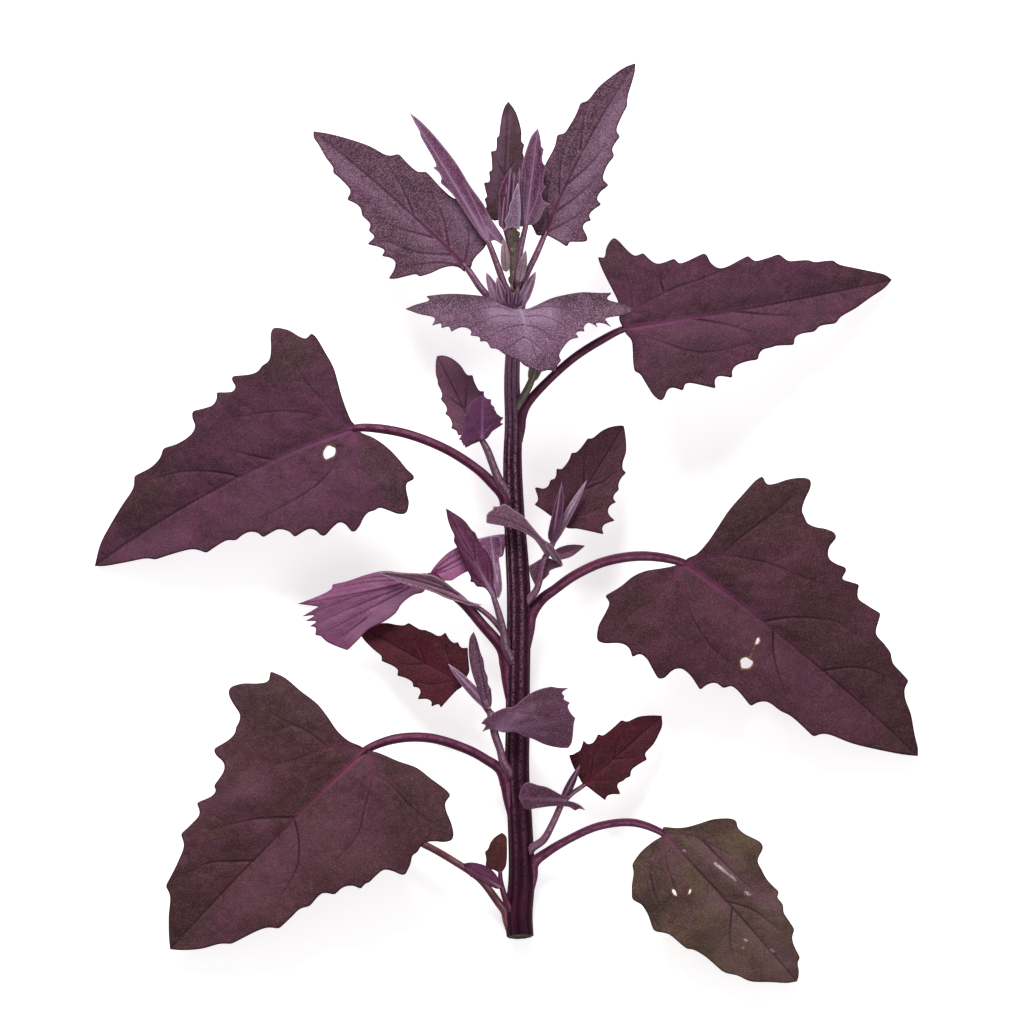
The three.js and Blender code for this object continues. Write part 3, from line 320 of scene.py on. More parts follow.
def branches_of(line, spacing):
    """Short side branches of a vein, in turn to its left and right, bent toward its tip."""
    dense = smooth_line(line, BRANCH_GRID)
    stride = int(spacing / BRANCH_GRID)
    reach = BRANCH_REACH * spacing
    found = []
    for i, k in enumerate(range(stride, len(dense) - 4, stride)):
        side = 1 if i % 2 else -1
        heading = dense[k + 2] - dense[k]
        angle = math.atan2(heading[1], heading[0]) + BRANCH_TURN * side
        points = [dense[k]]
        for _ in range(BRANCH_STEPS):
            points.append(points[-1] + reach / BRANCH_STEPS * np.array([math.cos(angle), math.sin(angle)]))
            angle -= BRANCH_BEND * side
        found.append(np.array(points))
    return found


def vein_lines(leaf, length, midrib):
    """The midrib, the side veins and their branches: points, strength at the start and at the end."""
    s = np.linspace(0, length, MIDRIB_SEGMENTS + 1)
    lines = [(np.stack([s, midrib(s)], -1), *MIDRIB_STRENGTH)]
    for path in leaf.get("veins", ()):
        if math.hypot(*path[0]) < VEIN_START:
            path = [VEIN_ROOT, *path]
        lines.append((smooth_line(path, SIDE_VEIN_STEP), *SIDE_VEIN_STRENGTH))
    if leaf.get("branched", True):
        spacing = min(WIDEST_SPACING, 2.5 + length / 16)
        for line, _, _ in list(lines):
            lines += [(branch, *BRANCH_STRENGTH) for branch in branches_of(line, spacing)]
    return lines


# %% Values that the materials read
# how far each mark reaches, in mm; those round a vein or a margin shrink on a small leaf
VEIN_REACH = 0.33
BAY_REACH = 1.3
FAR_REACH = 4.2
# the flank is a pale band at the edge of each crease: partly the pale lining of the veins, partly painted
# highlight
FLANK_REACH = 0.35
SIDE_RIB_REACH = 0.45
RIB_REACH = 0.55
RIM_REACH = 0.75
NIBBLE_REACH = 0.5
# width of those on the smallest leaf as a share of the full width, and the length that adds a full width
SMALLEST_SIZE = 0.4
SIZE_LENGTH = 75
# shares of the length over which the magenta of the midrib fades, and that of the side veins at the stalk
RIB_RUN = 0.65
NEAR_STALK = 0.28
# both start to fade a little way out, and the midrib is this much wider at the stalk
FULL = 1.1
RIB_SWELL = 0.9


def fall_off(distance, reach):
    """1 on a line, and less and less away from it."""
    return np.exp(-((distance / reach) ** 2))


def painted_marks(leaf, plan, mark):
    """A mark that is painted on the leaf: rows of its two ends, how far it reaches and how strong it is."""
    painted = np.zeros(len(plan))
    for s0, w0, s1, w1, reach, strength in leaf.get(mark, ()):
        distance = nearest(plan, np.array([[s0, w0]], float), np.array([[s1, w1]], float))[:, 0]
        painted = np.maximum(painted, strength * fall_off(distance, reach))
    return painted


def blade_values(leaf, plan, loops, lines, length):
    """How near each point lies to a vein, the midrib, the margin, a hole, and to the marks of the leaf."""
    starts = np.vstack([line[:-1] for line, _, _ in lines])
    ends = np.vstack([line[1:] for line, _, _ in lines])
    strong = np.concatenate([np.linspace(a, b, len(line) - 1) for line, a, b in lines])
    main = sum(len(line) - 1 for line, first, _ in lines if first > MAIN_VEIN)
    distance = nearest(plan, starts, ends)
    size = min(1.0, SMALLEST_SIZE + length / SIZE_LENGTH)
    to_edge = nearest(plan, np.vstack(loops), np.vstack([np.roll(loop, -1, axis=0) for loop in loops]))
    to_rim = to_edge[:, : len(loops[0])].min(1)
    to_hole = to_edge[:, len(loops[0]) :].min(1, initial=np.inf)
    fading = np.clip(FULL - plan[:, 0] / (leaf.get("rib_run", RIB_RUN) * length), 0, 1)
    near_base = np.clip(FULL - np.hypot(plan[:, 0], plan[:, 1]) / (NEAR_STALK * length), 0, 1)
    rib_reach = RIB_REACH * size**2 * (1 + RIB_SWELL * near_base)
    midrib = fall_off(distance[:, :MIDRIB_SEGMENTS].min(1), rib_reach)
    to_side_vein = distance[:, MIDRIB_SEGMENTS:main].min(1, initial=np.inf)
    laterals = fall_off(to_side_vein, SIDE_RIB_REACH * size)
    return {
        "vein": (strong * fall_off(distance, VEIN_REACH * size)).max(1),
        # near a vein: the width of its crease in the relief, and where the skin paints shade beside it
        "bay": (strong * fall_off(distance, BAY_REACH)).max(1),
        "far": (strong * fall_off(distance, FAR_REACH)).max(1),
        "flank": (strong * fall_off(distance - size, FLANK_REACH * size))[:, :main].max(1),
        "rib": np.maximum(midrib * fading, 0.8 * laterals * near_base),
        "rim": fall_off(to_rim, RIM_REACH * size),
        "nibble": np.maximum(fall_off(to_hole, NIBBLE_REACH), painted_marks(leaf, plan, "tear")),
        **{mark: painted_marks(leaf, plan, mark) for mark in ("blush", "olive", "scar")},
    }


# %% Relief of a blade
# heights of the cushions between veins, of the creases on top and of the ribs below, all on a large leaf
QUILT_MM = 0.85
CREASE_MM = 0.5
RIB_MM = 0.4
RIDGE_MM = 0.4
# wide and narrow unevenness of the sheet: waves for each mm, and height
WIDE_BUMPS = (0.11, 0.7)
NARROW_BUMPS = (0.33, 0.25)
# leaves shorter than these have shallower creases, and a lower ridge along the midrib
CREASED_LEAF = 40
RIDGED_LEAF = 60


def unevenness(point):
    """The height of a soft, irregular waviness at a point."""
    return sum(noise.noise(Vector(point) * pace) * height for pace, height in (WIDE_BUMPS, NARROW_BUMPS))


def relief_of(leaf, middle, values, length):
    """How far the upper and the lower face stand off the plain sheet."""
    uneven = np.array([unevenness(point) for point in middle])
    cushions = QUILT_MM * (1 - values["far"]) + uneven * (1 - 0.6 * values["rim"])
    sheet = leaf.get("pucker", 1.0) * cushions
    crease = leaf.get("crease", 1.0) * CREASE_MM * (0.5 * values["bay"] + 0.6 * values["vein"])
    fine = min(1.0, length / CREASED_LEAF)
    raised = RIDGE_MM * values["rib"] * min(1.0, length / RIDGED_LEAF)
    below = RIB_MM * fine * np.maximum(values["vein"], 0.9 * values["rib"])
    return sheet - crease * fine + raised, sheet - below


# %% Points and triangles of a blade
HOLE_POINTS = 18
# rows of points beside a vein, as offsets from it; a fine branch has the first three
VEIN_ROWS = (0.0, 0.35, -0.35, 0.85, -0.85)
BRANCH_ROWS = 3
# height of a row of the triangular lattice, as a share of its pitch
ROW_HEIGHT = 0.866


def hole_loop(s, w, long, wide, turn=0.0):
    """A nibbled hole: an uneven oval."""
    angle = np.linspace(0, 2 * np.pi, HOLE_POINTS, endpoint=False)
    reach = 1 + 0.08 * np.sin(3 * angle + 1.3) + 0.06 * np.sin(5 * angle)
    x = long / 2 * reach * np.cos(angle)
    y = wide / 2 * reach * np.sin(angle)
    turned = (s + x * math.cos(turn) - y * math.sin(turn), w + x * math.sin(turn) + y * math.cos(turn))
    return np.stack(turned, -1)


def points_along(lines, pitch):
    """Rows of points along each vein."""
    rows = []
    for line, first, _ in lines:
        dense = smooth_line(line, 0.8 * pitch)
        ahead = np.gradient(dense, axis=0)
        normal = np.stack([-ahead[:, 1], ahead[:, 0]], -1) / np.linalg.norm(ahead, axis=1)[:, None]
        count = len(VEIN_ROWS) if first > MAIN_VEIN else BRANCH_ROWS
        rows += [dense + normal * offset for offset in VEIN_ROWS[:count]]
    return np.vstack(rows)


def lattice_over(outline, pitch):
    """An even lattice of points over the whole outline."""
    low, high = outline.min(0), outline.max(0)
    steps_s = np.arange(low[0], high[0], pitch)
    steps_w = np.arange(low[1], high[1], ROW_HEIGHT * pitch)
    s, w = np.meshgrid(steps_s, steps_w)
    s[1::2] += pitch / 2
    return np.stack([s.ravel(), w.ravel()], -1)


def triangles_between(loops, points):
    """Plan points and triangles inside the loops, all facing up; the loops come first in points."""
    edges, first = [], 0
    for loop in loops:
        edges += [(first + i, first + (i + 1) % len(loop)) for i in range(len(loop))]
        first += len(loop)
    found = delaunay_2d_cdt([Vector(p) for p in points], edges, [], 1, 1e-4)
    plan = np.array([tuple(v) for v in found[0]])
    triangles = np.array(found[2])
    triangles = triangles[inside_of(loops, plan[triangles].mean(1))]
    ab = plan[triangles[:, 1]] - plan[triangles[:, 0]]
    ac = plan[triangles[:, 2]] - plan[triangles[:, 0]]
    turned = ab[:, 0] * ac[:, 1] - ab[:, 1] * ac[:, 0] < 0
    triangles[turned] = triangles[turned][:, ::-1]
    used, triangles = np.unique(triangles, return_inverse=True)
    return plan[used], triangles.reshape(-1, 3)


# %% Build one blade
UPPER = 0
LOWER = 1
# a blade is this thick; those of the smallest leaves are thinner
BLADE_MM = 0.4
YOUNG_BLADE_MM = 0.35
# widest step along a margin, least distance of a vein's points, and of the lattice's as a share of its pitch
MARGIN_STEP = 0.6
VEIN_GAP = 0.28
LATTICE_GAP = 0.62


def blade_arrays(leaf, pitch, thickness):
    """Points in mm, faces, face kinds and named values for one blade."""
    length, midrib, place = surface_of(leaf)
    tip = (length, float(midrib(length)))
    step = min(pitch, MARGIN_STEP)
    left, right = (blunted(margin_line((0, 0), leaf[side], tip, step), length) for side in ("left", "right"))
    outline = np.vstack([right, [tip], left[:0:-1]])
    loops = [outline, *[hole_loop(*hole) for hole in leaf.get("holes", ())]]
    lines = vein_lines(leaf, length, midrib)
    vein_points = points_along(lines, pitch)
    lattice = lattice_over(outline, pitch)
    kept = [tuple(p) for loop in loops for p in loop]
    kept = thin_out(map(tuple, vein_points[inside_of(loops, vein_points)]), kept, VEIN_GAP)
    kept = thin_out(map(tuple, lattice[inside_of(loops, lattice)]), kept, LATTICE_GAP * pitch)
    plan, triangles = triangles_between(loops, kept)

    values = blade_values(leaf, plan, loops, lines, length)
    middle = place(plan[:, 0], plan[:, 1])
    lift, under = relief_of(leaf, middle, values, length)
    upper, lower = middle.copy(), middle.copy()
    upper[:, 2] = middle[:, 2] + thickness / 2 + lift
    lower[:, 2] = middle[:, 2] - thickness / 2 + under
    count = len(plan)
    sides = {tuple(side) for pair in ([0, 1], [1, 2], [2, 0]) for side in triangles[:, pair].tolist()}
    border = [(i + count, j + count, j, i) for i, j in sides if (j, i) not in sides]
    faces = triangles.tolist() + (triangles[:, ::-1] + count).tolist() + border
    kinds = [UPPER] * len(triangles) + [LOWER] * (len(triangles) + len(border))
    return np.vstack([upper, lower]), faces, kinds, {name: np.tile(v, 2) for name, v in values.items()}


# %% [markdown]
# ## Round things: stem, stalks and buds
# The stem and the stalks are tubes along a smooth line. Their cross-section isn't a plain circle: the stem
# has ridges, and a stalk has a channel along its upper side. A curve object with a bevel would be quicker to
# make, but it couldn't carry the ridges and their colour.

# %% Build one tube
# the side of a tube that carries most bloom, as an angle from its right side over its top
BLOOM_SIDE = 2.6
# ridges aren't even round a stem: how far they are shifted, and where
RIDGE_SHIFT = 1.3
RIDGE_PLACE = 0.7
# half the width of the channel of a stalk, as an angle
CHANNEL_REACH = 0.5


def ring_around(right, up, angles, reach):
    """A ring of points round the origin, each at its own angle and reach."""
    return reach[:, None] * (np.cos(angles)[:, None] * right + np.sin(angles)[:, None] * up)


def ring_faces(rings, sides):
    """Quads between neighbouring rings of points, then a cap on the first ring and one on the last."""
    faces = []
    for i in range(rings - 1):
        for k in range(sides):
            a = i * sides + k
            b = i * sides + (k + 1) % sides
            faces.append((a, a + sides, b + sides, b))
    return [*faces, tuple(range(sides)), tuple(range(rings * sides - 1, (rings - 1) * sides - 1, -1))]


def tube_arrays(line, sides, step, ridges=0, ridge_height=0.0, channel=0.0):
    """Points in mm, faces, kinds and values for a tube through rows of x, y, z and radius."""
    line = np.array(line, float)
    places = smooth_line(line[:, :3], step)
    knots = np.concatenate([[0], np.cumsum(np.linalg.norm(np.diff(line[:, :3], axis=0), axis=1))])
    along = np.concatenate([[0], np.cumsum(np.linalg.norm(np.diff(places, axis=0), axis=1))])
    radii = np.interp(along / along[-1], knots / knots[-1], line[:, 3])
    ahead = np.gradient(places, axis=0)
    ahead /= np.linalg.norm(ahead, axis=1)[:, None]
    across = np.stack([ahead[:, 1], -ahead[:, 0], np.zeros(len(ahead))], -1)
    across /= np.linalg.norm(across, axis=1)[:, None]
    upward = np.cross(across, ahead)
    angles = np.linspace(0, 2 * np.pi, sides, endpoint=False) - np.pi / 2
    crest = np.zeros(sides)
    if ridges:
        crest = 0.5 + 0.5 * np.cos(ridges * angles + RIDGE_SHIFT * np.sin(2 * angles + RIDGE_PLACE))
    hollow = fall_off(angles - np.pi / 2, CHANNEL_REACH)
    points = []
    for centre, radius, right, up in zip(places, radii, across, upward):
        reach = radius - ridge_height * (1 - crest) - channel * radius * hollow
        points.append(centre + ring_around(right, up, angles, reach))
    faces = ring_faces(len(places), sides)
    kinds = [UPPER] * (len(faces) - 2) + [LOWER, UPPER]
    values = {
        "ridge": np.tile(crest, len(places)),
        "along": np.repeat(along / along[-1], sides),
        "bloom": np.tile(0.5 + 0.5 * np.cos(angles - BLOOM_SIDE), len(places)),
    }
    return np.vstack(points), faces, kinds, values


# %% Join parts into one piece
BLADE_VALUES = ("vein", "bay", "flank", "rib", "rim", "nibble", "blush", "olive", "scar")
VALUE_NAMES = (*BLADE_VALUES, "ridge", "along", "bloom")


def make_piece(name, parts):
    """Makes one mesh object from parts of (arrays, skin) and puts it in its node's place."""
    points, faces, slots, materials = [], [], [], []
    values = {key: [] for key in VALUE_NAMES}
    offset = 0
    for (place, part_faces, kinds, part_values), skin in parts:
        for material in SKINS[skin]:
            if material not in materials:
                materials.append(material)
        numbers = [materials.index(SKINS[skin][kind]) for kind in (UPPER, LOWER)]
        points.append(place)
        faces += [tuple(i + offset for i in face) for face in part_faces]
        slots += [numbers[kind] for kind in kinds]
        for key in VALUE_NAMES:
            values[key].append(part_values.get(key, np.zeros(len(place))))
        offset += len(place)
    mesh = bpy.data.meshes.new(name + "_piece")
    mesh.from_pydata((np.vstack(points) * MM).tolist(), [], faces)
    for key, lists in values.items():
        layer = mesh.attributes.new(key, "FLOAT", "POINT")
        layer.data.foreach_set("value", np.concatenate(lists).astype(np.float32))
    for material in materials:
        mesh.materials.append(material)
    mesh.polygons.foreach_set("material_index", slots)
    mesh.polygons.foreach_set("use_smooth", [True] * len(mesh.polygons))
    piece = bpy.data.objects.new(name + "_piece", mesh)
    bpy.context.scene.collection.objects.link(piece)
    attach(piece, "root")
    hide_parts(name)
    mesh.calc_loop_triangles()
    print(name, "triangles", len(mesh.loop_triangles))


# %% [markdown]
# ## Plant skins
# Every skin here is plant tissue: cells under a thin waxy cuticle, matte where meal or bloom covers the wax.
# So one recipe serves all: a base colour, and layers of colour that lie where chosen patterns are high. The
# patterns are noise at real sizes, the values that each mesh carries, and the mealy bladders of the orache as
# small cells. A painted image would have to be unfolded over every leaf, and these patterns needn't.

# %% One recipe for a skin
# real sizes of the noises, from the drift of colour over a blade to the grain of its meal
NOISE_MM = {"drift": 16.0, "mottle": 4.5, "patch": 3.0, "fleck": 1.7, "bead": 0.75, "grain": 0.38}
# real bladders are about half as wide; these are as coarse as they need to be to show in the render
BLADDER_MM = 0.46
BLADDER_HEIGHT_MM = 0.25
# the net of the finest veins, and the share of a mesh of it that its groove takes up
NET_MM = 2.4
NET_GROOVE = 0.14
NET_DEPTH_MM = 0.15
NET_STRENGTH = 0.3
# a waxy leaf has a roughness of about 0.5; meal makes it duller and takes most of its reflection
SKIN_ROUGHNESS = 0.6
SPECULAR = 0.1


def pattern_nodes(m, in_mm, keys):
    """The noise nodes and value nodes for the patterns named by keys: node and output."""
    found = {}
    for key in keys:
        if key in NOISE_MM:
            values = {"Scale": 1 / NOISE_MM[key], "Detail": 4.0, "Roughness": 0.6}
            found[key] = (add_node(m, "ShaderNodeTexNoise", {"Vector": in_mm}, values), 0)
        else:
            found[key] = (add_node(m, "ShaderNodeAttribute", attribute_name=key), "Fac")
    return found


def layered_colour(m, base, layers, patterns):
    """The base colour with all layers over it, the last on top."""
    colour = None
    for hue, strength, *masks in layers:
        factor = None
        for key, low, high in masks:
            span = {"From Min": low, "From Max": high, "To Max": strength if factor is None else 1.0}
            mask = add_node(m, "ShaderNodeMapRange", {"Value": patterns[key]}, span)
            if factor is not None:
                mask = add_node(m, "ShaderNodeMath", {0: (factor, 0), 1: (mask, 0)}, operation="MULTIPLY")
            factor = mask
        links = {"Factor": (factor, 0)}
        values = {7: linear(hue)}
        if colour is None:
            values[6] = linear(base)
        else:
            links[6] = (colour, 2)
        colour = add_node(m, "ShaderNodeMix", links, values, data_type="RGBA")
    return colour


def plant_skin(name, base, layers, grain=0.5):
    """A layer is (colour, strength, (pattern, low, high), ...): it covers where all its patterns are high."""
    m = new_material(name)
    where = add_node(m, "ShaderNodeTexCoord")
    scaled = add_node(m, "ShaderNodeMapping", {"Vector": (where, "Object")}, {"Scale": [1 / MM] * 3})
    in_mm = (scaled, 0)
    cells = add_node(m, "ShaderNodeTexVoronoi", {"Vector": in_mm}, {"Scale": 1 / BLADDER_MM})
    patterns = {"dot": (cells, "Distance"), "cell": (cells, "Color")}
    keys = {key for layer in layers for key, _, _ in layer[2:]} - set(patterns)
    patterns.update(pattern_nodes(m, in_mm, sorted(keys)))
    colour = layered_colour(m, base, layers, patterns)

    net_scale = {"Scale": 1 / NET_MM}
    net = add_node(m, "ShaderNodeTexVoronoi", {"Vector": in_mm}, net_scale, feature="DISTANCE_TO_EDGE")
    groove = add_node(m, "ShaderNodeMapRange", {"Value": (net, 0)}, {"From Max": NET_GROOVE})
    depth = {"Strength": NET_STRENGTH, "Distance": NET_DEPTH_MM * MM}
    relief = add_node(m, "ShaderNodeBump", {"Height": (groove, 0)}, depth)
    height = {"Strength": grain, "Distance": BLADDER_HEIGHT_MM * MM}
    over = {"Height": (cells, "Distance"), "Normal": (relief, 0)}
    bladders = add_node(m, "ShaderNodeBump", over, height, invert=True)
    surface = {"Base Color": (colour, 2), "Normal": (bladders, 0)}
    look = {"Roughness": SKIN_ROUGHNESS, "Specular IOR Level": SPECULAR}
    shader = add_node(m, "ShaderNodeBsdfPrincipled", surface, look)
    add_node(m, "ShaderNodeOutputMaterial", {"Surface": (shader, "BSDF")})
    return m


# %% [markdown]
# ## Leaf skins
# The colour of a leaf drifts between maroon, purple and brown-green over a centimetre or two, and mottles
# over a few millimetres. Veins are creases: on most leaves a dark line and a deep tone beside each are
# painted shade in the crease, and a paler band at its edge is partly the vein's pale lining and partly
# painted highlight. The midrib is magenta near the stalk. Young leaves carry so much meal that they look
# grey. The underside is paler and pinker than the upper face. One function lays these habits over any leaf,
# and each skin is a row of tones and of what else sets it apart.

# %% Layers of a leaf skin
# where green shows through the purple, and on a few leaves painted shade over a half or zone in shade; the
# dead tissue round a hole; and healed skin
OLIVE_AND_PAINTED_SHADE = "3e2b25"
HOLE_RIM = "86694a"
SCAR = "ccb3ba"


def leaf_skin(name, tones, meal=0.26, dots="927688", edge=None, blotch=0.45, bay=0.34):
    """Tones: base, drift, deep, lights, veins, midrib; deep is mottling, and painted shade beside the veins.
    Meal is a share, dots and edge are colours.
    """
    base, drift, deep, light, vein, rib = tones
    tissue = [
        (drift, 1.0, ("drift", 0.42, 0.58)),
        (OLIVE_AND_PAINTED_SHADE, 0.85, ("olive", 0.0, 1.0), ("mottle", 0.25, 0.5)),
        (deep, blotch, ("mottle", 0.48, 0.64)),
        (light, 0.7 * blotch, ("patch", 0.52, 0.66)),
        # blush: paler, mealier patches, and on some leaves painted light on a lit half or over a cast shadow
        (light, 0.75, ("blush", 0.0, 1.0)),
        # painted shade: the deep tone laid in the hollows beside the veins, where shade falls
        (deep, bay, ("bay", 0.25, 1.0)),
        # flank: partly the pale lining of the veins, partly painted highlight on the edges of their creases
        (light, 0.5, ("flank", 0.3, 0.9)),
    ]
    mealiness = [
        (deep, meal, ("grain", 0.50, 0.34)),
        (dots, 0.8 * meal, ("grain", 0.50, 0.66)),
        (dots, 0.7 * meal, ("dot", 0.6, 0.1), ("cell", 0.45, 0.72)),
        (dots, 0.2, ("fleck", 0.67, 0.75)),
    ]
    lines = [
        # veins: where the tone is dark it is painted shade in each vein's crease; pale vein tones are the
        # leaf's own colour
        (vein, 0.85, ("vein", 0.14, 0.7)),
        (rib, 0.8, ("rib", 0.2, 0.75)),
        (edge or deep, 0.7, ("rim", 0.45, 1.0)),
        (HOLE_RIM, 0.9, ("nibble", 0.3, 0.9)),
        (SCAR, 0.85, ("scar", 0.2, 0.7), ("bead", 0.38, 0.5)),
    ]
    return plant_skin(name, base, [*tissue, *mealiness, *lines])


# %% Leaf skins
LEAF_LOOKS = {
    # grown blade with little meal: its wax leaves the plum deep, and painted shade makes the creases nearly
    # black
    "dark_upper": dict(tones=("572e41", "4a2b36", "351a26", "6b3f56", "230d17", "764060")),
    # grown blade low on the stem: browned by age
    "brown_upper": dict(tones=("55303b", "4a2b2b", "341c22", "694150", "250f17", "7a3c55")),
    # grown blade in full light: more wine-red
    "wine_upper": dict(tones=("4f2936", "46272b", "31171e", "62394a", "220c15", "713857")),
    # the oldest blade: its red pigment has faded, so brown-green shows
    "olive_upper": dict(tones=("553933", "594935", "3c2825", "6f4c56", "341f25", "6f4152"), meal=0.35,
        dots="8f7c7c"),
    # thin blade in the shade of a large one: an even, deep red
    "maroon_upper": dict(tones=("47121e", "3f1419", "2c0a13", "5a2231", "22060f", "541828"), meal=0.14),
    # young blade: thick meal makes its purple look grey and grainy
    "mealy_upper": dict(tones=("573144", "4d2a39", "341826", "7d5d75", "331829", "5c2c45"), meal=0.6,
        dots="a1879d", blotch=0.35, bay=0.45),
    # unfolding blade: even more meal, and a pale, furry margin
    "ash_upper": dict(tones=("664256", "5c3b50", "442738", "836477", "3a1c30", "70486a"), meal=0.4,
        dots="a78c9e", edge="9a8091", blotch=0.3),
    # young blade that others shade: the mealy skin darkened to a dull purple-brown as painted shade
    "dim_upper": dict(tones=("4a2939", "41252f", "2c1620", "6a4c5f", "2c1622", "50263a"), dots="846c7a",
        bay=0.45),
    # sliver out of the bud: berry-purple between pale, bare veins
    "berry_upper": dict(tones=("4c1b3b", "421734", "2a0f22", "745068", "936f8a", "93708c"), meal=0.28,
        dots="9a7a94", edge="98768f", blotch=0.3),
    # youngest blade: hardly any purple left below the meal
    "pale_upper": dict(tones=("80607a", "74546e", "543a50", "9d8299", "96789a", "9a7c9a"), meal=0.6,
        dots="b7a0b2", edge="b9a3b5", blotch=0.3),
    # underside of a sliver: plum between broad, pink-white veins
    "petal_upper": dict(tones=("6e3c62", "5e2d50", "40162f", "a3829c", "b698b0", "5a2448"), meal=0.4,
        dots="bea2b6", edge="c6abbe", blotch=0.5),
    # broad front blade: lavender-grey meal, densest along the midrib
    "lilac_upper": dict(tones=("603c54", "553448", "3e2336", "967a92", "4a2b41", "a48aa6"), meal=0.6,
        dots="ad94ab", blotch=0.3),
    # underside of a folded blade: dark pink between raised, pale ribs
    "pink_upper": dict(tones=("542242", "471a37", "2f1024", "806078", "94708c", "8e6888"), meal=0.4,
        dots="a585a0", edge="98768f", blotch=0.3),
    # small blade with little meal: clear violet
    "violet_upper": dict(tones=("6a395d", "603253", "47243f", "87587f", "8a5a84", "9c70a0"), meal=0.14,
        dots="a280a0", edge="7d4a72", blotch=0.3),
    # small blade with little meal: magenta, with dark creases
    "magenta_upper": dict(tones=("582543", "4d203a", "351526", "774462", "2b0f20", "a37a98"), meal=0.2,
        dots="9a7490"),
    # underside of the folded leaf: smooth, with thin, wine-red veins
    "mauve_upper": dict(tones=("96587f", "874c74", "703e62", "b483a2", "642c52", "6c2a56"), meal=0.2,
        dots="b894ae", blotch=0.3),
    # unfolding blade in shade: plum-brown below thin meal
    "plum_upper": dict(tones=("613449", "573040", "3f1f2e", "7c5168", "2e1422", "743f5e"), meal=0.35,
        dots="9f7f94"),
    # bud and bud scale: grey-green, flushed with brown, thick with meal
    "green_upper": dict(tones=("77695f", "7a6c5a", "4c3b38", "968878", "4c3b3a", "7a6a5a"), meal=0.7,
        dots="ada298", edge="8a7c72"),
    # dry, papery scale: pink-grey
    "scale_upper": dict(tones=("a98c94", "9c8688", "705662", "bda6ae", "5c3a4c", "85606f"), meal=0.5,
        dots="b8a6aa", edge="a88c98"),
    # blade near the ground: rusty brown-red
    "rust_upper": dict(tones=("552426", "4e2622", "37171a", "6a2c38", "2a1418", "5c2a34"), meal=0.15),
    # blade that curls over: dusky purple with mealy veins
    "dusk_upper": dict(tones=("562f45", "4b293b", "36192a", "7c5a72", "674660", "7a5872"), meal=0.35,
        dots="987a90", edge="866478", blotch=0.3),
    # blade folded shut: dark purple with a pale vein along the fold
    "folded_upper": dict(tones=("52203f", "471a36", "2a0c1c", "6d4560", "a888a0", "34132a"), meal=0.16,
        dots="a8889c", edge="8a6680"),
    # rolled lobe: dusty pink with a wine-red vein
    "strip_upper": dict(tones=("7a4e66", "6a4056", "421f34", "9a788c", "3a122a", "641c48"), meal=0.3,
        dots="ae96a4", edge="ae98a2"),
    # underside of a grown blade: no wax, so paler and pinker
    "dark_lower": dict(tones=("6b3a58", "5d334a", "4a273c", "845478", "7c4467", "7c3560")),
    # underside of the oldest blade: dull brown-pink
    "olive_lower": dict(tones=("6a4f4c", "5d483c", "4a3636", "84646a", "7a5560", "7c4a58")),
    # underside of a young blade: pink-purple below meal
    "mealy_lower": dict(tones=("6f4262", "643c58", "4d2c46", "8d6688", "86587a", "7c4a6c"), meal=0.4),
}
# underside: the skins that have it
UNDERSIDES = {
    "dark_lower": ("dark", "brown", "wine", "maroon"),
    "olive_lower": ("rust", "olive"),
    "mealy_lower": ("mealy", "ash", "dim", "berry", "pale", "petal", "lilac", "pink", "plum", "dusk",
        "magenta", "violet", "scale"),
    "dark_upper": ("mauve",),
    "green_upper": ("green",),
    "plum_upper": ("folded",),
    "magenta_upper": ("strip",),
}

leaf_materials = {name: leaf_skin("leaf_" + name, **look) for name, look in LEAF_LOOKS.items()}
# name of a skin: its materials on the upper side and on the underside
SKINS = {}
for underside, skins in UNDERSIDES.items():
    for skin in skins:
        SKINS[skin] = (leaf_materials[skin + "_upper"], leaf_materials[underside])
print("leaf skins", len(SKINS))

# %% [markdown]
# ## Stem and stalk skins
# The stem is smooth and burgundy. A silvery bloom lies on the crests of its ridges, broken into fine beads,
# and it thins out toward the cut end. The stalks are more magenta, with a paler line on each ridge. They get
# the same recipe as the leaves, with the ridges and the bloomed side of each tube as patterns.

# %% Stem and stalk skins
# paler top of the main stem: partly the paler skin of its young end, partly painted light that lifts the
# shadow the front leaf casts on it
YOUNG_STEM_AND_PAINTED_LIGHT = "a2789a"
STEM_GRAIN = 0.25


def stem_skin(name, tones, fade=(-1.0, 0.0), top=(9.0, 10.0), broken=("patch", 0.35, 0.6)):
    """Tones: base, grooves, crests, flank. Fade, top: where along the length bloom and a paler top set in;
    that top is partly painted light.
    """
    base, groove, crest, flank = tones
    layers = [
        (flank, 0.8, ("drift", 0.40, 0.62)),
        (flank, 0.6, ("bloom", 0.4, 0.0)),
        (YOUNG_STEM_AND_PAINTED_LIGHT, 0.75, ("along", *top)),
        (groove, 0.85, ("ridge", 0.3, 0.02), ("mottle", 0.3, 0.5)),
        (flank, 0.5, ("ridge", 0.5, 0.95)),
        (crest, 0.8, ("ridge", 0.55, 0.98), broken, ("bloom", 0.0, 0.7), ("along", *fade)),
        (crest, 0.3, ("grain", 0.52, 0.64), ("bloom", 0.0, 0.8), ("along", *fade)),
    ]
    return plant_skin(name, base, layers, grain=STEM_GRAIN)


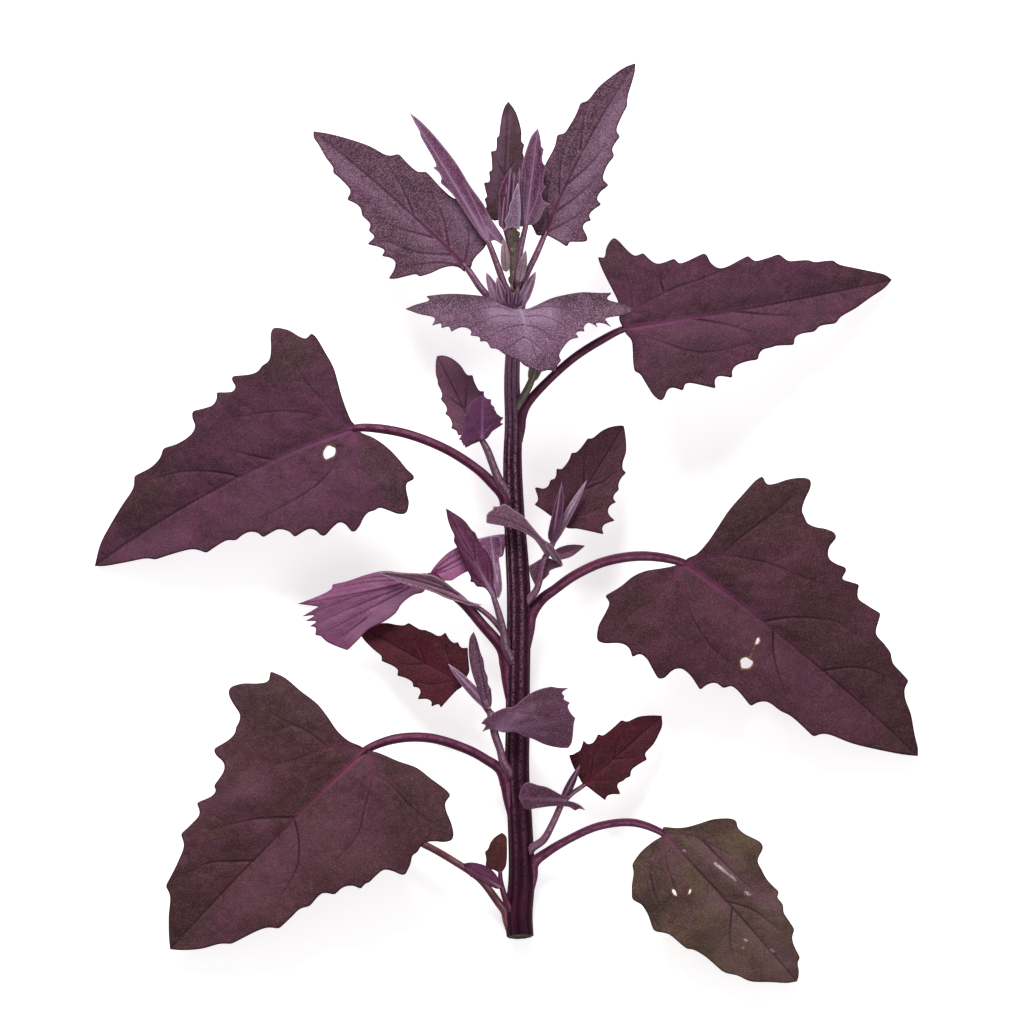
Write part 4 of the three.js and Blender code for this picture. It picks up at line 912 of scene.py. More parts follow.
BEADED = ("bead", 0.40, 0.6)
STALK_SKINS = {
    # stalk of a grown leaf: smooth, magenta-red skin with little bloom
    "stalk": stem_skin("stalk_skin", ("4b1a33", "30101f", "86566f", "602747")),
    # the oldest stalk: its red has weathered to a brownish pink
    "ruddy": stem_skin("ruddy_stalk_skin", ("6e3844", "451f2c", "a8848a", "84505a")),
    # young stalk: mealy, so its ridges look silvery and its skin pink-grey
    "young": stem_skin("young_stalk_skin", ("6a3f57", "452338", "ac8ca2", "7a5068"), broken=BEADED),
    # stem of a side shoot: the same meal over a browner skin
    "shoot": stem_skin("shoot_stalk_skin", ("684557", "432b39", "ab8ea0", "6a4a5c"), broken=BEADED),
    # stem of the green side shoot: hardly any red pigment, so it looks sage-grey
    "sage": stem_skin("sage_stalk_skin", ("6b6256", "453a38", "a29a8a", "75666a")),
}
# the main stem: a tough, ribbed rind, burgundy-black with beads of bloom on its crests
stem_tones = ("2c081b", "17030c", "a27a90", "3d0f28")
stem_material = stem_skin("stem_skin", stem_tones, (0.0, 0.8), (0.75, 0.88), ("bead", 0.42, 0.58))
# pith cut with a knife: moist, spongy and brown-green inside a nearly black rind
pith_layers = [("665c3c", 0.8, ("patch", 0.4, 0.6)), ("16040c", 0.98, ("rim", 0.3, 0.62))]
cut_material = plant_skin("cut_pith", "453d28", pith_layers)

SKINS.update({skin: (material, material) for skin, material in STALK_SKINS.items()})
SKINS["stem"] = (stem_material, cut_material)
print("skins", len(SKINS))

# %% [markdown]
# ## The main stem
# Everything grows from the stem, so it is made first. Ten ridges run its whole length. Its cut end shows the
# greenish pith, and it lies on the table on the rim of that cut. A cylinder with a ridged profile would be
# straight, while this tube follows the bends that the stem has at its nodes.

# %% Shape of the main stem
# x, y, z and radius from the cut end to the tip
STEM_LINE = np.array([
    (4.6, -137.8, 4.49, 4.5), (4.2, -129.4, 4.9, 4.6), (5.1, -117.8, 5.6, 4.4), (4.6, -99.7, 7.1, 4.1),
    (3.6, -83.2, 8.9, 4.1), (3.8, -67.0, 10.8, 4.0), (3.9, -51.8, 12.6, 4.0), (4.2, -25.4, 15.4, 4.0),
    (3.6, -12.2, 17.0, 3.8), (2.6, 4.3, 19.3, 3.4), (2.1, 20.8, 22.0, 3.1), (2.4, 32.3, 24.2, 2.9),
    (1.9, 47.2, 27.4, 2.6), (2.6, 62.0, 31.0, 2.4), (3.3, 76.2, 34.5, 2.2),
])
STEM_SIDES = 120
STEM_STEP = 0.9
STEM_RIDGES = 10
RIDGE_HEIGHT = 0.42
# how much further the lower edge of the cut reaches than its top, and how far along the stem the slant acts
CUT_SLANT = 2.4
CUT_REACH = 6.0
# height counts from 0 at the underside of the cut to 1 at its top, and no higher than this
SLANT_TOP = 1.2

stem_tube = tube_arrays(STEM_LINE, STEM_SIDES, STEM_STEP, STEM_RIDGES, RIDGE_HEIGHT)
stem_points, stem_faces, stem_kinds, stem_values = stem_tube
_, cut_y, cut_z, cut_radius = STEM_LINE[0]
highness = 0.5 + 0.5 * (stem_points[:, 2] - cut_z) / cut_radius
nearness = np.clip(1 - (stem_points[:, 1] - cut_y) / CUT_REACH, 0, 1)
stem_points[:, 1] += CUT_SLANT * np.clip(highness, 0, SLANT_TOP) * nearness
print("stem rings", len(stem_points) // STEM_SIDES)

# %% Show the pith in the cut
# rings of the cut face as shares of the stem's radius, and how far each lies behind its rim, in mm
CUT_RINGS = ((0.84, -0.25), (0.62, -0.1), (0.42, 0.3), (0.15, 0.5))

rim = stem_points[:STEM_SIDES]
shares = [0.0] * (len(stem_points) - STEM_SIDES)
# the flat cap of the cut end is the last face but one
del stem_faces[-2]
del stem_kinds[-2]
outer = np.arange(STEM_SIDES)
for share, behind in CUT_RINGS:
    inner = len(stem_points) + np.arange(STEM_SIDES)
    stem_points = np.vstack([stem_points, rim.mean(0) + share * (rim - rim.mean(0)) + (0, behind, 0)])
    stem_faces += np.stack([outer, np.roll(outer, -1), np.roll(inner, -1), inner], -1).tolist()
    shares += [share] * STEM_SIDES
    outer = inner
stem_faces.append(outer.tolist())
stem_kinds += [LOWER] * (STEM_SIDES * len(CUT_RINGS) + 1)
stem_values = {key: np.pad(v, (0, STEM_SIDES * len(CUT_RINGS))) for key, v in stem_values.items()}
stem_values["rim"] = np.array([1.0] * STEM_SIDES + shares)
make_piece("main_stem", [((stem_points, stem_faces, stem_kinds, stem_values), "stem")])

# %% [markdown]
# ## Stalks that grow out of the stem
# A leaf stalk doesn't sit on the stem like a peg: it runs along the flank for a few millimetres and then
# parts from it. A tube that ends inside the stem would be simpler, but it would look like a nail. So each
# stalk starts with a few rows that come out of the flank bit by bit.

# %% Let a stalk into the flank of the stem
# how far below the place where it parts from the stem, depth in the stem and swelling, all in stalk radii
LEAF_JOINT = ((11.0, 0.8, 0.5), (6.0, 0.2, 1.0), (2.8, 0.0, 1.35))
SHOOT_JOINT = ((5.0, 1.1, 0.55), (2.7, 0.3, 1.25))
PARTING_SWELL = 1.12
# no stalk begins nearer to the cut end than this
FOOT = 1.5


def stem_at(y):
    """The stem's middle and radius at a place along it; past its upper end there is no radius."""
    x, z = (np.interp(y, STEM_LINE[:, 1], STEM_LINE[:, k]) for k in (0, 2))
    return np.array([x, z]), np.interp(y, STEM_LINE[:, 1], STEM_LINE[:, 3], right=0.0)


def stands_off(row):
    """True for a row of x, y, z and radius that lies outside the stem."""
    middle, stem_radius = stem_at(row[1])
    return np.hypot(*(np.array([row[0], row[2]]) - middle)) > stem_radius


def joined(rows, joint):
    """The rows of x, y, z and radius of a stalk, let into the flank of the stem."""
    kept = [row for row in rows if stands_off(row)]
    x, y, z, radius = kept[0]
    outward = np.array([x, z]) - stem_at(y)[0]
    outward /= np.hypot(*outward)
    room = min(1.0, (y - STEM_LINE[0, 1] - FOOT) / (joint[0][0] * radius))
    lead = []
    for drop, depth, swell in joint:
        low = y - drop * radius * room
        middle, stem_radius = stem_at(low)
        place = middle + outward * (stem_radius - depth * radius)
        lead.append((place[0], low, place[1], swell * radius))
    return [*lead, (x, y, z, PARTING_SWELL * radius), *kept[1:]]


# %% Build a leaf on its stalk
# the midrib below a blade: share of its length, and width in stalk radii
MIDRIB_TAPER = ((0.0, 0.85), (0.06, 0.62), (0.2, 0.42), (0.5, 0.3), (0.85, 0.12))
# how far the midrib hangs below the blade: in its own radii at the stalk and further on, and in mm
ROOT_DEPTH = 0.35
MIDRIB_DEPTH = 0.95
MIDRIB_DROP = 0.3
STALK_SIDES = 20
STALK_STEP = 0.9
STALK_RIDGES = 5
STALK_RIDGE_HEIGHT = 0.2
STALK_CHANNEL = 0.1


def leaf_parts(leaf):
    """A blade and its stalk; the stalk runs on under the blade as the midrib."""
    length, midrib, place = surface_of(leaf)
    radius = leaf["stalk_radius"]
    rows = joined([(*point, radius) for point in leaf["stalk"]], LEAF_JOINT)
    for t, width in MIDRIB_TAPER:
        x, y, z = place(t * length, midrib(t * length))
        depth = radius * width * (ROOT_DEPTH if t == 0 else MIDRIB_DEPTH)
        rows.append((x, y, z - depth - MIDRIB_DROP, radius * width))
    stalk = tube_arrays(rows, STALK_SIDES, STALK_STEP, STALK_RIDGES, STALK_RIDGE_HEIGHT, STALK_CHANNEL)
    return [(blade_arrays(leaf, leaf["pitch"], BLADE_MM), leaf["skin"]), (stalk, leaf["stalk_skin"])]


# %% [markdown]
# ## The large leaves
# Each leaf is written as a maker would mark it out: where its stalk leaves the stem, where its blade begins
# and ends, how it bends, and its margin from the base lobes to the tip, tooth by tooth. A point says how far
# along the blade it lies and how far to the left of its axis, and a third value of 1 makes it a sharp tooth.
# Veins are lines of such points. A hole is its middle, length, width and turn. A blush (paler meal, and on
# some leaves painted light), an olive patch (green showing through, and on a few leaves painted shade), a
# scar or a tear is the two ends of a line, its reach and its strength. Pitch is how far apart the points of
# the mesh lie. A margin made by a formula would be shorter, but no two teeth of a real leaf are alike.

# %% Lower left leaf
LOWER_LEFT = dict(
    base=(-46.2, -74.9, 22), tip=(-111.1, -140.9, 5.5), pitch=0.8, skin="brown", stalk_skin="stalk", arch=3,
    bow=-1, fold=0.2, curl=0.005, roll=0.04, wave=0.8, ripple=30, stalk_radius=1.65,
    left=[(-2, 3), (-4.9, 10.2), (-7.6, 16), (-8.3, 21.6), (-9.2, 28.4), (-9, 30.4, 1), (-6, 30.8),
        (-4.5, 32.5), (-2.5, 37), (-0.5, 40), (1.2, 41), (3.5, 39.7), (6, 36.8), (8.8, 35.1),
        (12.5, 35.8, 1), (13.8, 35.2), (16.5, 36.8), (20.3, 38.1, 1), (21.2, 37.2), (22.2, 34.5),
        (24, 31.9), (27, 31.4), (30.5, 31.4, 1), (31.3, 30.8), (34, 30.9, 1), (34.8, 28.5), (37.5, 26.4),
        (41.3, 26.1, 1), (43.8, 22.9), (49.9, 22.9, 1), (52.5, 21.3), (57, 21.1), (62.2, 20.9, 1),
        (65, 17.7), (77, 13.2, 1), (79.5, 10.6), (84.8, 7.5), (89, 4), (92, 0.8)],
    right=[(0.3, -2.2), (1.8, -6), (2.1, -11), (1, -17), (0.4, -22), (1.2, -29), (1.8, -36),
        (3.6, -40.8, 1), (6.4, -39), (9.5, -41), (13, -44.5), (17, -46.4), (18.7, -45.2), (20, -41.5),
        (20.8, -38), (22.5, -36.5), (25, -35.8, 1), (25.8, -35), (28.5, -34.6), (35, -36.1, 1),
        (35.9, -34.5), (36, -30.5), (37.5, -28.8), (43.8, -27.5, 1), (44.2, -26), (46, -25.6),
        (51.8, -27.7, 1), (52.4, -26), (53.8, -24.3), (58, -24), (62.8, -24.2, 1), (64.6, -20.9),
        (70.5, -18.2), (78.6, -15.7, 1), (79.8, -12.5), (85, -8), (90, -3)],
    veins=[[(1.5, 3), (4, 7), (14, 13), (22, 17.5), (33, 18.5)], [(4, 7), (2.5, 12), (2.7, 25), (1.5, 33)],
        [(2, -3), (8, -9.5), (16, -13.5), (24, -17.5)], [(8, -9.5), (9, -18), (12, -26), (13, -30)],
        [(32, -0.8), (36, -5), (43, -11), (54, -18)], [(52, -0.8), (57, -5.5), (63, -11), (72, -14)],
        [(33, -0.8), (36, 4), (43, 10.5), (55, 14)]],
    blush=[(52, -27, 34, -16, 4, 0.9), (28, 10, 62, 5, 8, 0.6), (20, 26, 30, 22, 7, 0.3)],
    olive=[(6, -22, 14, -42, 10, 0.9), (-3, 12, 0, 36, 8, 0.7), (78, -4, 90, 0, 7, 0.7),
        (24, -30, 34, -32, 5, 0.6)],
    stalk=[(4, -87.5, 9.2), (-2, -81.5, 11.2), (-6.6, -78.2, 13.6), (-12.6, -74.9, 16.6), (-25.1, -71, 21),
        (-36.7, -71.3, 23)],
)
make_piece("leaf_lower_left", leaf_parts(LOWER_LEFT))

# %% Upper left leaf
UPPER_LEFT = dict(
    base=(-49.7, 31.2, 29), tip=(-136.1, -14.3, 0.4), pitch=0.8, skin="dark", stalk_skin="stalk", arch=3,
    bow=-3.8, fold=0.2, curl=0.005, wave=0.8, ripple=34, stalk_radius=1.6,
    left=[(-1.5, 2.8), (-3.2, 4.6), (-6, 9.5), (-7.8, 15), (-8.8, 20), (-9.8, 23), (-9.3, 24, 1),
        (-6.5, 24), (-5.2, 26.5), (-4.2, 30), (-1.6, 32.6), (0.8, 31.5), (3.2, 28.8), (5.4, 26.8),
        (7.2, 27.1, 1), (8.5, 26.5), (11, 27.2), (13.8, 29.2), (16.2, 30.2, 1), (17.1, 29.4), (17.5, 26.8),
        (19, 25), (21, 25.2), (25.5, 26.8, 1), (26.5, 26), (27.2, 23.8), (28.8, 22.3), (31.5, 22.2),
        (34.5, 22.5, 1), (35.2, 20), (38, 17.6), (40, 17.5), (43.8, 17.7, 1), (44.6, 15.5), (47, 13.9),
        (49.5, 13.8), (52.2, 14.4, 1), (54.5, 13), (57.5, 12.9), (62.8, 13.5, 1), (64.5, 11.5),
        (66.3, 10.2), (72, 8.7), (78.8, 7.5, 1), (81, 5.9), (88, 3.7), (95, 1.4)],
    right=[(-0.5, -0.8), (0, -2.5), (-0.2, -6), (-1, -11.5), (-2, -16), (-3, -21), (-2.9, -27), (-2.5, -33),
        (-1.8, -34.6, 1), (0.6, -33.7), (2.3, -35.5), (4.5, -39), (8.6, -41.8), (10.3, -40.3),
        (12.3, -36.3), (14.8, -33), (17.7, -32.6, 1), (19.5, -31.6), (22, -31.8), (28, -34.2, 1),
        (28.7, -33), (28.5, -30.5), (30, -29.6), (32, -30.3), (35, -31.9, 1), (35.9, -30), (38, -28.7),
        (40, -28.9), (45, -30.1, 1), (46.1, -28), (46.3, -25.5), (48.2, -23.8), (53.5, -22.9),
        (59.3, -23.8, 1), (61.5, -21.6), (65.5, -20.2), (72, -20.2, 1), (74, -17), (80, -13.6),
        (86.5, -9.7), (92.5, -5.6)],
    veins=[[(1, 1.5), (8, 5), (14, 8.5), (20, 10.5), (31, 11.5), (42, 11.5)],
        [(1, 1.5), (5, 10), (7, 16), (9, 20)], [(2, -2), (8, -9), (14, -13.5), (20, -17), (34, -22)],
        [(4, -6), (5, -13), (7, -20), (7.5, -28)], [(28, -3), (32, -6), (36, -9.5), (40, -13)],
        [(41, -3.6), (45, -7), (50, -10.5), (57, -14), (66, -16.5)]],
    holes=[(11.3, 3, 4.6, 3.6, 0.4)],
    # the first blush lies on the half that folds up toward the light: partly paler meal, partly painted light
    blush=[(10, 14, 48, 8, 8, 0.6), (20, -14, 36, -12, 7, 0.4), (66, 6, 86, 1, 4, 0.8)],
    olive=[(5, -32, 12, -30, 8, 0.9), (60, -18, 82, -8, 6, 0.8), (-4, 26, -2, 12, 8, 0.8),
        (30, 18, 40, 14, 5, 0.4)],
    stalk=[(2.4, 6.2, 19.6), (-0.4, 9.2, 20.6), (-4.7, 13.2, 22.6), (-9.3, 17.5, 25), (-19.5, 24.1, 28.6),
        (-31.7, 29, 30.4), (-41.6, 31, 30.2)],
)
make_piece("leaf_upper_left", leaf_parts(UPPER_LEFT))

# %% Upper right leaf
UPPER_RIGHT = dict(
    base=(38.8, 63.9, 31.5), tip=(127.6, 80.4, 0.4), pitch=0.75, skin="dark", stalk_skin="stalk", arch=4,
    bow=-0.8, fold=0.2, curl=0.006, wave=0.7, ripple=30, stalk_radius=1.4,
    left=[(-1, 3), (-0.5, 6), (-0.3, 9), (-1.3, 13), (-2.8, 18), (-3.8, 22), (-4.2, 25.1, 1), (-2.1, 24.2),
        (-1, 27), (0.8, 29.3), (2.3, 30.1), (3.8, 28.5), (5.5, 25.8), (8, 23), (10.8, 23.6, 1), (12.5, 21),
        (14.5, 19.2), (16.5, 19.1), (20.7, 19.9, 1), (21.8, 18), (24.5, 18.2), (27.5, 19), (30.5, 19.8, 1),
        (31.4, 19), (32, 16.5), (34.5, 14), (37, 14), (41, 15.2), (44.8, 16.4, 1), (46.5, 14.3),
        (49.5, 14.3), (55, 15.1, 1), (57.5, 12.3), (61, 11.8), (64.2, 11.4, 1), (65.8, 10.4), (69.5, 10.1),
        (72.4, 9.8, 1), (73.5, 8.4), (79, 6), (84.5, 3.8), (88.5, 2)],
    right=[(0.3, -1.8), (1.7, -3.8), (1.6, -7), (1, -11), (0.9, -14.3), (1, -14.5, 1), (2.4, -15.5),
        (4, -19.5), (6, -24), (7.9, -25.5), (9.2, -24.3), (10.5, -22.3), (12, -21.9), (13.2, -22.3),
        (15.5, -23.7, 1), (16.5, -21.5), (17.8, -21.4), (22, -23), (26.3, -24.9, 1), (26.3, -22.2),
        (27.5, -21), (29, -21.2), (32.3, -22.4, 1), (32.6, -20), (34, -18.7), (38, -17.9), (41.8, -18, 1),
        (42.3, -16.2), (44, -15), (46.8, -14.9, 1), (48, -14.6), (54.4, -15.4, 1), (54.9, -13.2),
        (56.5, -12.3), (62, -12.3, 1), (63.5, -10.9), (69.3, -10.9, 1), (71, -9.2), (76.5, -7.2),
        (82, -4.6), (87.5, -2.2)],
    veins=[[(0.5, 2), (5, 6), (12, 8.5), (20, 10.5), (30, 12), (38, 14)], [(4, 6), (4.5, 14), (3.5, 20)],
        [(15, 10), (15, 14), (16, 16.5)], [(2, -2), (10, -5.5), (18, -10), (26, -12.5), (40, -12)],
        [(2, -3), (5, -9), (7, -17)], [(22, -0.4), (32, -4), (42, -9)], [(36, -0.6), (50, -4.5), (58, -6)]],
    blush=[(12, -4, 60, -5, 4, 0.5), (14, 4, 50, 5, 4, 0.35)],
    olive=[(1, 22, 4, 27, 6, 0.7), (70, 2, 88, 1, 6, 0.6), (8, -20, 20, -18, 5, 0.5)],
    stalk=[(2.6, 36, 25), (7, 39.4, 26.6), (14.1, 47.2, 30.4), (22.7, 54.7, 33), (31, 60, 33.2)],
)
make_piece("leaf_upper_right", leaf_parts(UPPER_RIGHT))

# %% Middle right leaf
MIDDLE_RIGHT = dict(
    base=(58.4, -13.2, 22), tip=(136.1, -77.1, 4), pitch=0.8, skin="wine", stalk_skin="stalk", arch=3,
    bow=2, fold=0.2, curl=0.005, wave=0.8, ripple=32, stalk_radius=1.7,
    left=[(0, 1.9), (1.5, 5), (1.8, 11), (1.3, 16), (0.6, 23), (0.8, 30), (1.2, 36.5), (2, 38.8, 1),
        (4.8, 37.6), (6.8, 39.5), (9, 43), (12.5, 46.7), (15, 47.8), (16.6, 46), (17.8, 41.5), (19.5, 38),
        (21.6, 37.1, 1), (22.8, 36.2), (26, 36.8), (29, 38.5), (32, 39.5, 1), (33.6, 38.7), (33.9, 34.5),
        (36, 31.8), (38.5, 31.7), (42.5, 33, 1), (43.3, 32), (43.8, 29.3), (46, 30), (49.5, 31.5, 1),
        (50.1, 30), (52, 27.7), (55.5, 27.8), (61, 28.6, 1), (61.9, 26.5), (64, 22.4), (68, 21.6),
        (71.8, 20.7, 1), (74.5, 18.5), (78.5, 17.9), (82.4, 17.3, 1), (83, 14.5), (85, 12.2), (90, 9.2),
        (95, 5), (99.3, 1.7)],
    right=[(-2.1, -3.1), (-4.5, -6), (-8, -10), (-10, -14), (-11, -19), (-13.1, -24.8, 1), (-10.5, -25.6),
        (-9.4, -29), (-8.3, -34), (-5.5, -37.7), (-3, -36.8), (0, -34.2), (2.5, -33), (4.5, -33.2),
        (6.8, -34.8, 1), (8, -32.3), (10.5, -32), (14, -33.3), (17.8, -34.8, 1), (19.2, -33.5),
        (19.8, -29.5), (21.5, -27.4), (25, -27.1), (31, -28.9, 1), (31.6, -26), (33.5, -23.7),
        (36.6, -23.6, 1), (38, -21.3), (40.5, -21.1), (47.3, -22.4, 1), (48.2, -20), (50.5, -17.8),
        (56, -17.3), (59.5, -16.5), (69.8, -17, 1), (71, -14.8), (73, -13.3), (81, -10.6), (89.5, -6.5),
        (96.5, -2.7)],
    veins=[[(2, 3), (8, 10), (16, 15), (22, 18), (32, 21), (40, 24)],
        [(8, 10), (9, 18), (11, 26), (13, 34), (14, 40)],
        [(32.5, 1.7), (38, 8), (45, 13.5), (52, 17.5), (60, 18)],
        [(58, 1.8), (65, 9), (71, 12.5), (78, 14)],
        [(0, -3), (6, -6), (12, -11), (18, -13.5), (26, -15.5), (33, -15.5)],
        [(0.5, -5), (0.3, -14), (-2.5, -22), (-3, -27)], [(37, 1.8), (41, -3), (47, -8), (54, -12)]],
    holes=[(37, -12.3, 4.0, 3.6, 0.6), (35.3, -4.3, 1.1, 2.3, 0.3)],
    tear=[(36.9, -9.9, 36.2, -8.2, 0.5, 0.8), (36.1, -7.4, 35.6, -6, 0.32, 0.7),
        (42, -3.4, 42.3, -3.1, 0.3, 0.6)],
    blush=[(14, -5, 76, -6, 6, 0.5), (20, 8, 34, 10, 5, 0.3)],
    olive=[(4, 18, 14, 42, 9, 0.9), (42, 13, 84, 8, 7, 0.6), (-6, -22, -4, -30, 6, 0.5),
        (90, 1, 98, 0, 5, 0.8)],
    stalk=[(5, -29, 12.8), (11.5, -25.4, 14.5), (15.8, -22.1, 16.6), (22.7, -17.2, 19.6), (33, -12.6, 22.2),
        (45.8, -10.9, 23.2)],
)
make_piece("leaf_middle_right", leaf_parts(MIDDLE_RIGHT))

# %% Lower right leaf, with its scars
LOWER_RIGHT = dict(
    base=(52.3, -102.8, 15), tip=(96.1, -151.6, 3.5), pitch=0.65, skin="olive", stalk_skin="stalk",
    arch=2.5, bow=0.5, fold=0.2, curl=0.008, wave=1.2, ripple=22, rib_run=0.3, stalk_radius=1.4,
    left=[(-2.2, 1), (0.5, 3.8), (2.8, 6.6), (5, 11), (6.8, 15), (9, 18), (11, 20), (12.6, 20.7, 1),
        (14.5, 19.5), (17.5, 19.8), (20.5, 21), (23.5, 21.9), (25.2, 21.1), (25.9, 19.2), (27, 17),
        (30, 16.1), (34, 15.2), (39.6, 15.5, 1), (40.2, 13.9), (43.5, 13.6), (45.5, 12), (47.5, 11.7),
        (52.2, 11, 1), (53.5, 8.7), (56, 7.3), (60.5, 6.1, 1), (61, 4.4), (63.5, 2.8), (65.2, 0.9)],
    right=[(-0.2, -1.5), (-0.8, -4.5), (-0.9, -10), (0, -13.9), (0.4, -14.8, 1), (2.5, -16), (5, -19),
        (8.6, -22.3, 1), (10, -22), (12, -21.2), (16, -21.8), (21.5, -23.8), (23.3, -22.5), (25.5, -21),
        (30, -20.3), (33.2, -19.8, 1), (34.5, -18.5), (39, -17), (46.5, -16), (48, -15.4, 1), (51, -13.2),
        (55, -11.5), (60, -6.5), (64, -2.5)],
    veins=[[(1.5, 2), (7, 7), (15, 10), (20, 12)], [(10, 8), (22, 8.5), (34, 9.5)],
        [(2, -2), (8, -6), (15, -9), (22, -13)], [(2, -3), (5, -10), (9, -16)],
        [(30, 0.4), (38, 5), (48, 7)], [(33, 0.4), (38, -5), (43, -9), (48, -11)],
        [(7, -12.5), (14, -16), (20, -17)]],
    holes=[(16.4, -10.4, 2.4, 1.0, -0.2), (19.6, -6.4, 0.6, 1.7, 0.5)],
    scar=[(18.2, 5.9, 22, 6.6, 0.5, 1.0), (22, 6.6, 27.1, 7.4, 0.36, 0.9), (32.2, 7, 33.4, 7.6, 0.5, 1.0),
        (8, 1.2, 8.6, 1.4, 0.4, 0.8), (43.6, -3.6, 44.4, -3.2, 0.35, 0.8), (45, -6, 45.6, -5.8, 0.35, 0.7),
        (52, 0.8, 53, 0.9, 0.4, 0.7)],
    blush=[(10, 6, 44, 11, 3.5, 0.9), (26, -2, 58, -1, 3.5, 0.7), (8, -3, 16, -8, 3, 0.5),
        (44, 5, 62, 0, 4, 0.7), (38, -10, 50, -11, 3.5, 0.5)],
    olive=[(0, -8, 14, -17, 8, 1.0), (30, -14, 50, -11, 5, 0.4), (14, 17, 24, 19, 4, 0.4)],
    stalk=[(6.5, -113.5, 6), (13.8, -108.6, 8.6), (20.4, -104.6, 11.2), (31, -100, 14.2), (42.5, -99, 15.6)],
)
make_piece("leaf_lower_right", leaf_parts(LOWER_RIGHT))

# %% Lowest left leaf, out of sight from above
LOWEST_LEFT = dict(
    base=(-33.4, -104, 7.4), tip=(-73, -113.9, 2.4), pitch=0.7, skin="dark", stalk_skin="ruddy", arch=2,
    fold=0.12, curl=0.008, wave=0.4, ripple=16, stalk_radius=1.25,
    left=[(0.5, 2.5), (1.5, 5.5), (2.6, 7.6), (4, 8.4, 1), (5.2, 7.6), (6.6, 7.8), (8, 8.7, 1), (9.4, 7.4),
        (13, 7), (15.8, 7.6, 1), (17.2, 6.2), (22, 5.8), (25, 6, 1), (26.4, 4.6), (32, 3.2), (37, 1.5)],
    right=[(-1.6, -2.4), (-2.6, -6), (-1, -8.8), (1.6, -9.6, 1), (4.4, -8.2), (7, -7.8), (10, -8.6, 1),
        (11.4, -7.2), (15.4, -6.8), (18.4, -7.2, 1), (19.8, -5.8), (25, -5.2), (28, -5.3, 1), (29.4, -4),
        (34.4, -2.4), (38, -1)],
    veins=[[(1, 1), (6, 4), (12, 5.5)], [(1, -1), (6, -4), (12, -5.5)], [(14, 0.5), (20, 3.5)],
        [(14, -0.5), (20, -3.5)]],
    stalk=[(1.5, -131, 4.7), (-2.4, -125.8, 5.5), (-8.6, -117.9, 6.8), (-17, -112, 7.6),
        (-26.5, -106.6, 7.8)],
)
make_piece("leaf_lowest_left", leaf_parts(LOWEST_LEFT))

# %% [markdown]
# ## The growing end
# The leaves near the tip are younger: narrower, folded, and much mealier than the large ones. They could be
# small copies of a large leaf, but their proportions differ, so each is marked out like the large ones, with
# finer triangles. A negative fold closes the blade along its midrib, so that it is seen from below.

# %% Top left leaf
TOP_LEFT = dict(
    base=(-13.5, 84.7, 37), tip=(-63.5, 129.2, 21), pitch=0.6, skin="mealy", stalk_skin="young", arch=2,
    bow=-1, fold=0.12, curl=0.006, wave=0.5, ripple=22, stalk_radius=1.25, pucker=1.3, crease=1.1,
    left=[(-1.5, 1.8), (0.5, 1.7), (2.8, 2.8), (5, 5.5), (6.8, 9.5), (8.9, 12.9, 1), (9.8, 12.6),
        (12, 15.3), (14, 18.2), (16, 20.1, 1), (16.6, 16.5), (18, 14.3), (20, 14.4), (22.7, 16, 1),
        (23.1, 13.8), (25, 14.2), (28.9, 16.2, 1), (28.7, 12.7), (31.5, 12.6, 1), (32.3, 10.6),
        (36.4, 10.3, 1), (38.2, 8.8), (40.5, 8.7), (43.7, 9.7, 1), (44.5, 6.8), (48.5, 6), (53.3, 6, 1),
        (53.6, 5), (58.3, 3.8), (63, 2.2), (65.7, 1.5)],
    right=[(-2, -0.6), (-1, -2.5), (-0.7, -5), (-0.9, -8.5), (1, -14.5, 1), (4, -14), (8, -17), (11, -15.2),
        (14, -15.5), (18, -14), (22, -13.9), (30.3, -14.7, 1), (32, -12.9), (36, -12.6), (40.9, -13.1, 1),
        (43, -10.4), (50, -8.5), (56.5, -5.8), (62.5, -2.8)],
    veins=[[(1, 1), (6, 4), (11, 9), (15, 14)], [(6, 0.5), (13, 6), (20, 9.5), (26, 11)],
        [(14, 0), (24, 5), (32, 8)], [(1, -1), (4, -6), (8, -11)], [(8, -1), (16, -7), (26, -11)],
        [(24, -1.5), (34, -6), (42, -8)]],
    blush=[(6, 2.6, 62, 2.4, 2.0, 0.5), (3, -7, 14, -13, 5, 0.8), (4, 4, 9, 9, 3, 0.5)],
    olive=[(14, 9, 30, 9, 4, 0.45), (26, -9, 56, -4, 5, 0.35)],
    stalk=[(2.2, 64.6, 31.2), (-2, 69.4, 32.8), (-5.7, 74.2, 34.4), (-8.6, 77.6, 35.6)],
)
make_piece("leaf_top_left", leaf_parts(TOP_LEFT))

